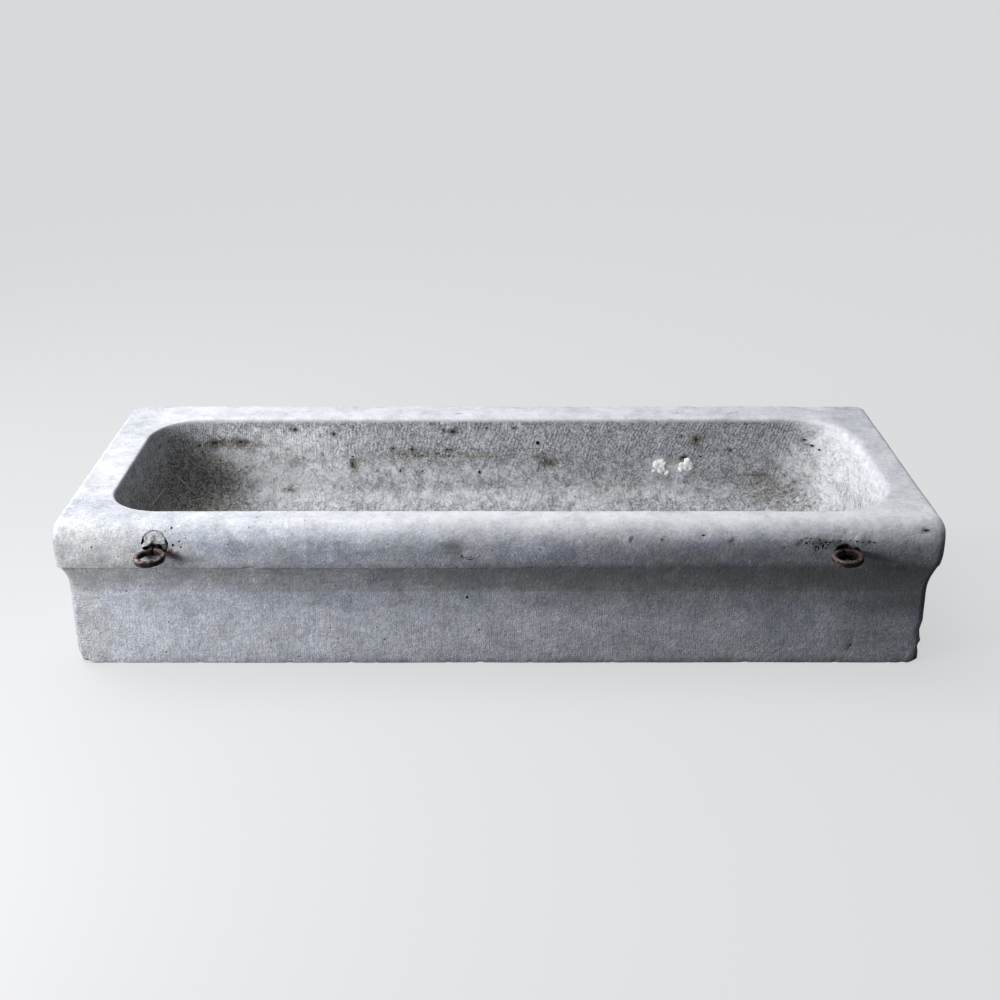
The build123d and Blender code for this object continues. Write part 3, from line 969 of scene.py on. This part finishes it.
def makeStone():
    rows, cols = makeRows(), makeColumns()
    regions = [row[3] for row in rows]
    points = np.array([p for row in rows for p in placeRow(row, cols)], float)
    leftness = np.clip(-points[:, 0] / (blockLength / 2), 0, 1)
    points[:, 0] -= outOfSquare * leftness * (points[:, 1] / blockWidth + 0.5)
    mesh = meshFrom("stone", points, ringFaces(len(cols), len(rows)))
    breakChips(mesh, points)
    mesh.vertices.foreach_set("co", (points * mm).ravel())
    # the way round the block, along its outer edge for the outside and along the basin's mouth for the rest
    ways = {}
    for region in ("outside", "basin"):
        edge = np.array(placeRow(rows[regions.index(region)], cols))
        closer = 1 + stroking["closerLeft"] * fade("closerLeft", edge[1:, 0])
        steps = np.linalg.norm(np.diff(edge, axis=0), axis=1) * closer
        ways[region] = np.concatenate([[0], np.cumsum(steps)])
    around = np.concatenate([ways["outside" if region == "outside" else "basin"] for region in regions])
    markStone(mesh, points, np.repeat(regions, len(cols)), around)
    return growMesh("stone", mesh, makeWeatherTree(), weather, {"Seed": 3.0, "Stone": stoneFinish})


def countTriangles(mesh):
    return sum(len(p.vertices) - 2 for p in mesh.polygons)


stoneMesh = makeStone()
surface = BVHTree.FromPolygons([v.co for v in stoneMesh.vertices], [p.vertices for p in stoneMesh.polygons])
print("stone:", countTriangles(stoneMesh), "triangles")

# where a level line towards the back starts, in front of the block or inside the basin, in millimetres
lineStarts = {"front": -500.0, "wall": 0.0}


# where such a line meets the weathered stone, and the stone's normal there
def meetStone(x, z, side="wall"):
    return surface.ray_cast(Vector((x * mm, lineStarts[side] * mm, z * mm)), Vector((0, 1, 0)))[:2]


# y of the weathered face of the roll at a place on it, in millimetres
def rollFace(x, z):
    hit = meetStone(x, z, "front")[0]
    return hit.y / mm if hit else frontLip


# Undercut sockets in the roll, with ragged mouths
sockets = {
    "left": {"x": -597, "z": 243.5, "radius": 23.0, "oval": 0, "depth": 46, "flare": 1, "ragged": 1.6,
             "seed": 4.0},
    "right": {"x": 602, "z": 226, "radius": 19.5, "oval": 0.16, "depth": 46, "flare": 2, "ragged": 4.0,
              "seed": 9.0},
}


def socketRadius(s, angle, back):
    wobble = noise.noise(Vector((math.cos(angle) * 1.6, math.sin(angle) * 1.6, s["seed"] + back / 30)))
    oval = 1 + s["oval"] * math.cos(2 * angle)
    return s["radius"] * oval + s["flare"] * back / s["depth"] + s["ragged"] * wobble


# a ring of points round a socket's axis, with a radius for each angle
def socketRing(s, count, y, radiusAt):
    points = []
    for i in range(count):
        angle = 2 * math.pi * i / count
        radius = radiusAt(angle)
        points.append((s["x"] + radius * math.cos(angle), y, s["z"] + radius * math.sin(angle)))
    return points


def makeSocketCutter(s):
    around, along, before = 48, 10, -30
    points = []
    for back in np.linspace(before, s["depth"], along):
        points += socketRing(s, around, frontLip + back, lambda angle: socketRadius(s, angle, max(back, 0)))
    mesh = meshFrom("socketCutter", points, ringFaces(around, along))
    mesh.flip_normals()
    mesh.materials.append(soilFinish)
    return mesh


# Small holes with soil in them, in the front and in the basin's back wall: x and z, half width,
# half height and depth, in millimetres
pits = {
    "front": [
        (-567.2, 269.5, 2.3, 2.3, 3), (-564.7, 241.6, 2.6, 2.8, 3), (-553.4, 248.4, 1.8, 1.8, 2),
        (-551.3, 238.4, 1.9, 1.9, 2), (-633.2, 155.2, 1.2, 1.2, 1.5), (-706, 238.4, 1.7, 1.7, 1.5),
        (531, 245.6, 3.2, 2.2, 3), (538.6, 252.7, 1.9, 1.5, 2), (554.1, 251, 1.8, 2.2, 2.5),
        (548.9, 237.5, 4.2, 1.7, 3), (553.4, 234.6, 1.8, 2.4, 2), (560.7, 239, 1.9, 5.2, 3.5),
        (565.5, 246.2, 3.2, 1.8, 3), (572.5, 245.8, 3.4, 1.6, 3), (566.3, 235.6, 2.4, 1.3, 2),
        (548.5, 231.8, 2.0, 1.6, 2), (648.5, 245.8, 3.0, 1.4, 2), (640.7, 246.8, 1.8, 2.6, 1.6),
        (552.7, 215.2, 1.5, 1.3, 1.5), (739.2, 265.5, 5.0, 1.8, 2.5), (-64.8, 220.5, 2.2, 1.8, 2.5),
        (-52, 214, 7.0, 1.0, 1.5), (352.7, 257.9, 3.2, 1.8, 2), (-56.9, 132.7, 2.7, 2.7, 4),
        (-36.7, 68.3, 1.8, 1.8, 2), (-599.5, 22.7, 1.6, 1.6, 2), (-658.9, 145.4, 1.1, 1.9, 1.5),
        (536, 248.5, 1.6, 1.2, 2), (543.5, 243.5, 2.0, 1.3, 2), (557.5, 244, 1.5, 1.8, 2),
        (569.5, 241, 1.6, 1.4, 2), (578, 248.5, 2.4, 1.2, 2), (591, 248.5, 2.6, 1.3, 2),
        (607, 249.5, 1.8, 1.1, 2), (618.5, 248.5, 2.8, 1.4, 2), (629, 246.5, 1.7, 1.2, 2),
        (630.9, 35, 2.4, 1.5, 2),
    ],
    "wall": [
        (79.7, 229.3, 4.2, 4.2, 9), (-95.6, 253.3, 5.5, 3.6, 3), (-116.3, 255.4, 2.4, 2.0, 2.5),
        (-423, 257.5, 4.4, 3.0, 3), (-433.5, 259, 2.2, 1.8, 2), (-343.9, 248.1, 3.0, 3.6, 2.5),
        (-307, 183, 2.4, 6.5, 3), (-27, 260.6, 3.2, 2.0, 2), (30.3, 260.2, 3.2, 1.9, 2),
        (-181.3, 215.6, 3.2, 3.4, 2.5), (-220.8, 217.7, 3.4, 2.2, 2.5), (-108.4, 215.6, 4.2, 1.8, 2),
        (-207, 170.3, 2.0, 3.4, 2), (-161, 170.3, 1.9, 2.2, 2), (-41.9, 168.2, 2.4, 4.4, 2.5),
        (408.6, 236, 4.2, 4.2, 2.5), (378.2, 245, 2.4, 2.0, 2), (384, 199, 6.0, 3.0, 4),
        (-591, 230, 6.5, 3.4, 3), (-537, 231, 4.4, 3.2, 3), (-622, 226, 3.4, 2.4, 2),
        (632, 238.7, 4.0, 2.2, 2.5), (646, 229, 6.0, 2.2, 3), (660, 224, 3.6, 2.2, 2.5),
        (-305.6, 201, 3.4, 1.8, 2), (-129, 207, 6.5, 1.4, 2), (481, 214, 2.4, 3.4, 2),
        (419, 201, 3.4, 1.8, 2), (188.7, 262, 2.2, 1.6, 2),
    ],
}
pitShape = {"ragged": 0.35, "raggedness": 1.4, "sink": 0.7}


# one ragged ball for each pit, all in one mesh
def makePitCutter():
    shape = bmesh.new()
    holes = [(side, *hole) for side in pits for hole in pits[side]]
    for n, (side, x, z, halfWidth, halfHeight, depth) in enumerate(holes):
        spot, normal = meetStone(x, z, side)
        ball = bmesh.ops.create_icosphere(shape, subdivisions=2, radius=1.0)["verts"]
        turn = normal.to_track_quat("Y", "Z").to_matrix()
        for v in ball:
            wobble = noise.noise(v.co * pitShape["raggedness"] + Vector((n * 3.7, 0, 0)))
            size = (halfWidth, depth * pitShape["sink"], halfHeight)
            place = Vector([c * half for c, half in zip(v.co, size)]) * (1 + pitShape["ragged"] * wobble)
            v.co = spot + turn @ place * mm
    mesh = bpy.data.meshes.new("pitCutter")
    shape.to_mesh(mesh)
    shape.free()
    mesh.materials.append(soilFinish)
    return mesh


# gives each point of the cut mesh the marks of the nearest point before the cut
def keepMarks(before, after):
    tree = KDTree(len(before.vertices))
    for v in before.vertices:
        tree.insert(v.co, v.index)
    tree.balance()
    nearest = np.array([tree.find(v.co)[1] for v in after.vertices])
    for layer in before.attributes:
        if layer.domain == "POINT" and layer.data_type == "FLOAT":
            values = np.zeros(len(before.vertices), np.float32)
            layer.data.foreach_get("value", values)
            after.attributes[layer.name].data.foreach_set("value", values[nearest])


# cuts the sockets and the pits, and gives what they lay bare the soil's finish
def cutHoles(mesh):
    block = addObject("blockToCut", mesh)
    cutters = []
    for cutterMesh in [makeSocketCutter(s) for s in sockets.values()] + [makePitCutter()]:
        cutters.append(addObject("cutter", cutterMesh))
        cut = block.modifiers.new("cut", "BOOLEAN")
        cut.material_mode = "TRANSFER"
        cut.operation, cut.solver, cut.object = "DIFFERENCE", "EXACT", cutters[-1]
    done = takeMesh(block, *cutters)
    keepMarks(mesh, done)
    return done


stoneMesh = cutHoles(stoneMesh)
stoneMesh.name = "stone"
stoneMesh.set_sharp_from_angle(angle=math.radians(40))
addPiece("stoneTrough", stoneMesh, "limestone", "trough_block")
print("sockets and pits cut:", countTriangles(stoneMesh), "triangles")


# Each eye is one bar, bent round into a ring, with its two ends side by side as a shank
forgedBar = {"Bar Thickness": 8.8, "Bar Height": 11.0, "Edge Rounding": 2.4, "Bend Rounding": 5.0,
             "Scale Depth": 0.55, "Scale Size": 7.0}
eyeShape = {"ringRadius": 22.8, "legGap": 4.4, "shankEnd": 64.0, "splayStart": 46.0, "tailGap": 9.0,
            "steps": 40}
eyes = {
    "left": {"place": (-601.5, frontLip - 24, 228.5), "turn": (3.5, -3.5, -4), "seed": 2.0,
             "dustAndPaintedLight": 0.9, "bloomAndPaintedLight": 0.9},
    "right": {"place": (600, frontLip - 20, 226.5), "turn": (3, -4, 3), "seed": 8.0,
              "dustAndPaintedLight": 0.3, "bloomAndPaintedLight": 1.0},
}


def makeEyeTree():
    tree, given = startTree("bendEye", forgedBar, Seed="Float", Iron="Material")
    bent = addNode(tree, "GeometryNodeFilletCurve", {
        "Curve": given["Geometry"], "Count": 6, "Radius": given["Bend Rounding"]}, mode="POLY")
    stepped = addNode(tree, "GeometryNodeResampleCurve", {
        "Curve": bent, "Length": 1.6 * mm}, mode="LENGTH")
    flat = addNode(tree, "GeometryNodeSetCurveNormal", {"Curve": stepped}, mode="Z_UP")
    section = addNode(tree, "GeometryNodeCurvePrimitiveQuadrilateral", {
        "Width": given["Bar Thickness"], "Height": given["Bar Height"]})
    eased = addNode(tree, "GeometryNodeFilletCurve", {
        "Curve": section, "Count": 3, "Radius": given["Edge Rounding"]}, mode="POLY")
    even = addNode(tree, "GeometryNodeResampleCurve", {"Curve": eased, "Count": 22})
    bar = addNode(tree, "GeometryNodeCurveToMesh", {
        "Curve": flat, "Profile Curve": even, "Fill Caps": True})
    lumps = grainNoise(tree, given["Scale Size"], 3.0, given["Seed"])
    endTree(tree, roughen(tree, bar, lumps, given["Scale Depth"]), given["Iron"])
    return tree


# The bar's centreline, flat, with the ring round the origin and the shank towards +Y
def makeEyePath():
    e = eyeShape
    half = math.asin(e["legGap"] / e["ringRadius"])
    ring = [(e["ringRadius"] * math.sin(a), e["ringRadius"] * math.cos(a))
            for a in np.linspace(-half, -2 * math.pi + half, e["steps"])]
    points = [(-e["tailGap"], e["shankEnd"]), (-e["legGap"], e["splayStart"]), *ring,
              (e["legGap"], e["splayStart"]), (e["tailGap"], e["shankEnd"])]
    return curveFrom("eyePath", [(1.0, [(x * mm, y * mm, 0) for x, y in points])])


eyeTree = makeEyeTree()
for side, eye in eyes.items():
    mesh = growMesh(side + "Eye", makeEyePath(), eyeTree, forgedBar, {
        "Seed": eye["seed"], "Iron": ironFinish})
    tilt = Euler([math.radians(a) for a in eye["turn"]], "ZYX").to_matrix().to_4x4()
    # dust lies on the ring, thickest at its left, and rust blooms on its outer face at the left: both are
    # partly painted light on the side the light comes from, and the inner faces are left dark as painted
    # shade
    x, y = np.array([v.co[:2] for v in mesh.vertices]).T / mm
    outer = smooth((np.hypot(x, y) - eyeShape["ringRadius"] + 2) / 3) * (y < eyeShape["ringRadius"])
    addAttribute(mesh, "dustAndPaintedLight", eye["dustAndPaintedLight"] * (0.55 + 0.45 * ramp(x, 6, -10)) * (0.3 + 0.7 * outer))
    addAttribute(mesh, "bloomAndPaintedLight", eye["bloomAndPaintedLight"] * ramp(x, -6, -18) * outer)
    mesh.transform(Matrix.Translation(Vector(eye["place"]) * mm) @ tilt)
    addPiece(side + "TetherEye", mesh, "wrought_iron", side + "_tether_eye")
print("eyes forged")


# Lead fills each socket: its face follows the roll, and sinks to a hollow round the shank.
# A crack is the middle of its angle and its width. The brim is where the face starts to sink, and it
# droops at the left. The hollow is shallow at its right.
leadFills = {
    "left": {"gap": 0.6, "cracks": ((8, 5.0), (166, 3.4)), "recess": 0.7, "hollow": 15.0, "shallow": 5.0,
             "brim": 244.5, "lip": 6.0, "droop": 3.5},
    "right": {"gap": 0.6, "cracks": (), "recess": 13.0, "hollow": 18.0, "shallow": 18.0,
              "brim": 231.0, "lip": 0.0, "droop": 0.0},
}
leadMesh = {"around": 72, "rings": 18, "clearance": 0.4, "unevenSize": 9, "brimWobble": 2.5,
            "brimWobbleSize": 8, "gapWobble": 2.2, "crackSpread": 15, "edgePower": 10}
# How far right of the lead's middle some forms start and over what width or height they grow, with the
# lip's height above the brim
leadForms = {"droopFrom": -7, "droopOver": 5, "shallowFrom": 9, "shallowOver": 5, "sinkOver": 3.5,
             "lipFrom": -1, "lipOver": 7, "lipAbove": 1.0, "lipReach": 3.6, "dirtFrom": 7, "dirtOver": 5}


# how far the lead has shrunk from its socket at an angle, most at the cracks
def leadGap(fill, angle):
    wobble = noise.noise(Vector((math.cos(angle) * 2.5, math.sin(angle) * 2.5, 1)))
    gap = fill["gap"] * max(1 + leadMesh["gapWobble"] * wobble, 0.2)
    for middle, width in fill["cracks"]:
        away = (math.degrees(angle) - middle + 180) % 360 - 180
        gap += width * bump(away, 0, leadMesh["crackSpread"])
    return gap


# a point of the lead's face, behind the face of the roll, at a share of the socket's radius
def leadPoint(s, fill, x, z, share):
    form = leadForms
    right = x - s["x"]
    edge = share ** leadMesh["edgePower"]
    uneven = noise.noise(Vector((x, z, s["seed"])) / leadMesh["unevenSize"])
    wobble = noise.noise(Vector((x, 3, s["seed"])) / leadMesh["brimWobbleSize"])
    brim = fill["brim"] + leadMesh["brimWobble"] * wobble
    brim -= fill["droop"] * float(smooth((form["droopFrom"] - right) / form["droopOver"]))
    shallow = float(smooth((right - form["shallowFrom"]) / form["shallowOver"]))
    sinking = float(smooth((brim - z) / form["sinkOver"]))
    sunk = mix(fill["recess"], mix(fill["hollow"], fill["shallow"], shallow), sinking)
    lip = fill["lip"] * bump(z - brim, form["lipAbove"], form["lipReach"])
    lip *= float(smooth((form["lipFrom"] - right) / form["lipOver"]))
    return x, rollFace(x, z) + sunk + edge + uneven - lip, z


def makeLeadMesh(side):
    s, fill = sockets[side], leadFills[side]
    around, rings = leadMesh["around"], leadMesh["rings"]
    points = [leadPoint(s, fill, s["x"], s["z"], 0)]
    for k in range(1, rings + 1):
        ring = socketRing(s, around, 0.0, lambda angle: (
            socketRadius(s, angle, 0) - leadGap(fill, angle)) * k / rings)
        points += [leadPoint(s, fill, x, z, k / rings) for x, _, z in ring]
    for back in (s["depth"] * 0.5, s["depth"] - 0.5):
        points += socketRing(s, around, frontLip + back, lambda angle: (
            socketRadius(s, angle, back) - leadMesh["clearance"]))
    faces = [(0, 1 + (i + 1) % around, 1 + i) for i in range(around)]
    mesh = meshFrom(side + "Lead", points, faces + ringFaces(around, rings + 2, 1))
    fixNormals(mesh)
    mesh.materials.append(leadFinish)
    x, _, z = np.array([v.co for v in mesh.vertices]).T / mm
    toRight = smooth((x - s["x"] - leadForms["dirtFrom"]) / leadForms["dirtOver"])
    addAttribute(mesh, "dirt", toRight * ramp(z, fill["brim"] + 1, fill["brim"] - 3))
    for polygon in mesh.polygons:
        polygon.use_smooth = True
    return mesh


def fixNormals(mesh):
    shape = bmesh.new()
    shape.from_mesh(mesh)
    bmesh.ops.remove_doubles(shape, verts=shape.verts, dist=0.01 * mm)
    bmesh.ops.recalc_face_normals(shape, faces=shape.faces)
    shape.to_mesh(mesh)
    shape.free()


for side in sockets:
    addPiece(side + "LeadSetting", makeLeadMesh(side), "lead", side + "_lead_setting")
print("lead run in")


# Two lumps of white crust on the basin's back wall, with crumbs beside them, grown from fused balls.
# Each place is x and z, the reach of the lump and how many balls it grew from.
crusts = {"Ball Size": 5.2, "Roughness": 1.5}
crustPlaces = [(334, 182, 11, 34), (389, 183, 12, 34), (324, 169, 4, 3), (348, 171, 7, 6), (376, 172, 4, 3)]


def makeCrustTree():
    tree, given = startTree("growCrust", crusts, Seed="Int", Crust="Material")
    ball = addNode(tree, "GeometryNodeMeshIcoSphere", {"Radius": given["Ball Size"], "Subdivisions": 2})
    size = addNode(tree, "FunctionNodeRandomValue", {
        2: 0.45, 3: 1.2, "Seed": given["Seed"]}, data_type="FLOAT")
    grown = addNode(tree, "GeometryNodeInstanceOnPoints", {
        "Points": given["Geometry"], "Instance": ball, "Scale": size.outputs[1]})
    loose = addNode(tree, "GeometryNodeRealizeInstances", {"Geometry": grown})
    solid = addNode(tree, "GeometryNodeMeshToVolume", {
        "Mesh": loose, "Voxel Size": 1.0 * mm}, resolution_mode="VOXEL_SIZE")
    skin = addNode(tree, "GeometryNodeVolumeToMesh", {
        "Volume": solid, "Voxel Size": 1.1 * mm}, resolution_mode="VOXEL_SIZE")
    place = addNode(tree, "GeometryNodeInputPosition")
    lumps = addNode(tree, "ShaderNodeTexNoise", {"Vector": place, "Scale": 1 / (4 * mm), "Detail": 3.0})
    endTree(tree, roughen(tree, skin, lumps, given["Roughness"]), given["Crust"])
    return tree


def makeCrust():
    random = np.random.default_rng(12)
    points = []
    for x, z, reach, count in crustPlaces:
        away = reach * np.sqrt(random.random(count))
        angle = 2 * math.pi * random.random(count)
        for dx, dz in zip(away * np.cos(angle), away * np.sin(angle)):
            hit = meetStone(x + dx, z + dz)[0]
            points.append((x + dx, hit.y / mm - 1.0, z + dz))
    seeds = meshFrom("crustSeeds", points, [])
    return growMesh("limeCrust", seeds, makeCrustTree(), crusts, {"Seed": 5, "Crust": crustFinish})


addPiece("limeCrust", makeCrust(), "limestone")
print("crust grown")


# Dried roots: one thick piece and a few hairs stuck to the soiled wall. The thin end is a share.
roots = {"Thickness": 2.4, "Thin End": 0.5, "Wander": 3.0, "Wander Size": 22.0}
# each root is a row of places on the back wall, x and z, with its share of the thickness
rootPaths = [
    (1.0, [(-667, 178), (-661, 166), (-653, 155), (-648, 145), (-642, 138), (-635, 132)]),
    (0.5, [(-684, 174), (-682, 164), (-679, 155)]),
    (0.35, [(-610, 205), (-593, 188), (-575, 189), (-561, 196), (-541, 202)]),
    (0.35, [(-608, 219), (-610, 199), (-600, 186)]),
    (0.4, [(-646, 118), (-625, 119), (-600, 113), (-575, 116)]),
    (0.35, [(-672, 196), (-662, 192), (-655, 184)]),
    (0.3, [(-520, 186), (-505, 182), (-495, 172)]),
]


def makeRootTree():
    tree, given = startTree("growRoots", roots, Root="Material")
    stepped = addNode(tree, "GeometryNodeResampleCurve", {
        "Curve": given["Geometry"], "Length": 2.0 * mm}, mode="LENGTH")
    wander = grainNoise(tree, given["Wander Size"], 2.0)
    centred = addNode(tree, "ShaderNodeVectorMath", {0: wander.outputs["Color"], 1: (-0.5, -0.5, -0.5)})
    shift = addNode(tree, "ShaderNodeVectorMath", {
        0: centred, "Scale": given["Wander"]}, operation="SCALE")
    bent = addNode(tree, "GeometryNodeSetPosition", {"Geometry": stepped, "Offset": shift})
    along = addNode(tree, "GeometryNodeSplineParameter").outputs["Factor"]
    taper = addNode(tree, "ShaderNodeMapRange", {"Value": along, "To Min": 1.0, "To Max": given["Thin End"]})
    own = addNode(tree, "GeometryNodeInputRadius")
    ring = addNode(tree, "GeometryNodeCurvePrimitiveCircle", {
        "Resolution": 7, "Radius": given["Thickness"]}, mode="RADIUS")
    skin = addNode(tree, "GeometryNodeCurveToMesh", {
        "Curve": bent, "Profile Curve": ring, "Scale": both(tree, own, taper), "Fill Caps": True})
    endTree(tree, skin, given["Root"])
    return tree


def makeRoots():
    lines = []
    for share, places in rootPaths:
        hits = [meetStone(x, z)[0] for x, z in places]
        lines.append((share, [(hit.x, hit.y - 0.6 * mm, hit.z) for hit in hits]))
    return growMesh("driedRoots", curveFrom("rootPaths", lines), makeRootTree(), roots, {
        "Thin End": roots["Thin End"], "Root": rootFinish})


addPiece("driedRoots", makeRoots(), "limestone")
print("roots laid")


# Plain pale floor and background: what the camera sees of them is lighter than what lights the stone
studio = {"seen": "#dcdddf", "bounce": "#5c5c5f", "glow": 0.8, "worldLight": "#1e1f21", "floorHalf": 60}


def makeFloor():
    material = bpy.data.materials.new("studioPaper")
    material.use_nodes = True
    tree = material.node_tree
    seen = addNode(tree, "ShaderNodeLightPath").outputs
    direct = addNode(tree, "ShaderNodeMath", {
        0: seen["Is Camera Ray"], 1: seen["Is Glossy Ray"]}, operation="MAXIMUM")
    tone = addNode(tree, "ShaderNodeMix", {
        0: direct, 6: colour(studio["bounce"]), 7: colour(studio["seen"])}, data_type="RGBA")
    paper = addNode(tree, "ShaderNodeBsdfDiffuse", {"Color": tone.outputs[2]})
    light = addNode(tree, "ShaderNodeEmission", {"Color": colour(studio["seen"])})
    mixed = addNode(tree, "ShaderNodeMixShader", {
        0: both(tree, direct, studio["glow"]), 1: paper, 2: light})
    tree.links.new(mixed.outputs[0], tree.nodes["Material Output"].inputs["Surface"])
    tree.nodes.remove(tree.nodes["Principled BSDF"])
    mesh = bpy.data.meshes.new("floor")
    half = studio["floorHalf"]
    corners = [(-half, -half, 0), (half, -half, 0), (half, half, 0), (-half, half, 0)]
    mesh.from_pydata(corners, [], [(0, 1, 2, 3)])
    mesh.materials.append(material)
    addObject("floor", mesh)


# A low panel to the front left, a high one to the left, and two soft suns, from above and from behind
panels = {
    "frontLeftPanel": {"place": (-1.6, -1.25, 0.7), "aim": (-0.3, -0.3, 0.12), "size": (0.8, 0.7),
                       "power": 35},
    "leftPanel": {"place": (-1.7, 0.5, 2.0), "aim": (-0.2, 0.0, 0.2), "size": (1.2, 1.2), "power": 32},
}
suns = {
    "skyLight": {"towards": (0.3, -0.1, -1.0), "angle": 60, "strength": 2.25},
    "backLight": {"towards": (0.1, -1.0, -0.6), "angle": 40, "strength": 0.4},
}


# a lamp of a kind, turned so that it shines along a direction
def addLight(name, kind, towards, **settings):
    light = bpy.data.lights.new(name, kind)
    for setting, value in settings.items():
        setattr(light, setting, value)
    lamp = addObject(name, light)
    lamp.rotation_euler = towards.to_track_quat("-Z", "Y").to_euler()
    return lamp


def makeLights():
    for name, panel in panels.items():
        width, height = panel["size"]
        place = Vector(panel["place"])
        lamp = addLight(name, "AREA", Vector(panel["aim"]) - place, shape="RECTANGLE",
                        energy=panel["power"], size=width, size_y=height)
        lamp.location = place
    for name, sun in suns.items():
        addLight(name, "SUN", Vector(sun["towards"]), energy=sun["strength"],
                 angle=math.radians(sun["angle"]))
    world = bpy.data.worlds.new("studio")
    bpy.context.scene.world = world
    world.use_nodes = True
    tree = world.node_tree
    seen = addNode(tree, "ShaderNodeLightPath").outputs
    tone = addNode(tree, "ShaderNodeMix", {
        0: seen["Is Camera Ray"], 6: colour(studio["worldLight"]), 7: colour(studio["seen"]),
    }, data_type="RGBA")
    tree.links.new(tone.outputs[2], tree.nodes["Background"].inputs["Color"])


# Where the photo was taken from: the focal length in widths of the picture, and the turn from straight down
viewpoint = {"focal": 1.42, "place": (0.001, -2.5405, 1.2736), "turn": 67}


def makeCamera():
    data = bpy.data.cameras.new("camera")
    data.lens = viewpoint["focal"] * data.sensor_width
    camera = addObject("camera", data)
    camera.location = viewpoint["place"]
    camera.rotation_euler = (math.radians(viewpoint["turn"]), 0, 0)
    bpy.context.scene.camera = camera


makeFloor()
makeLights()
makeCamera()
bpy.context.scene.view_settings.view_transform = "Standard"
print("studio ready")
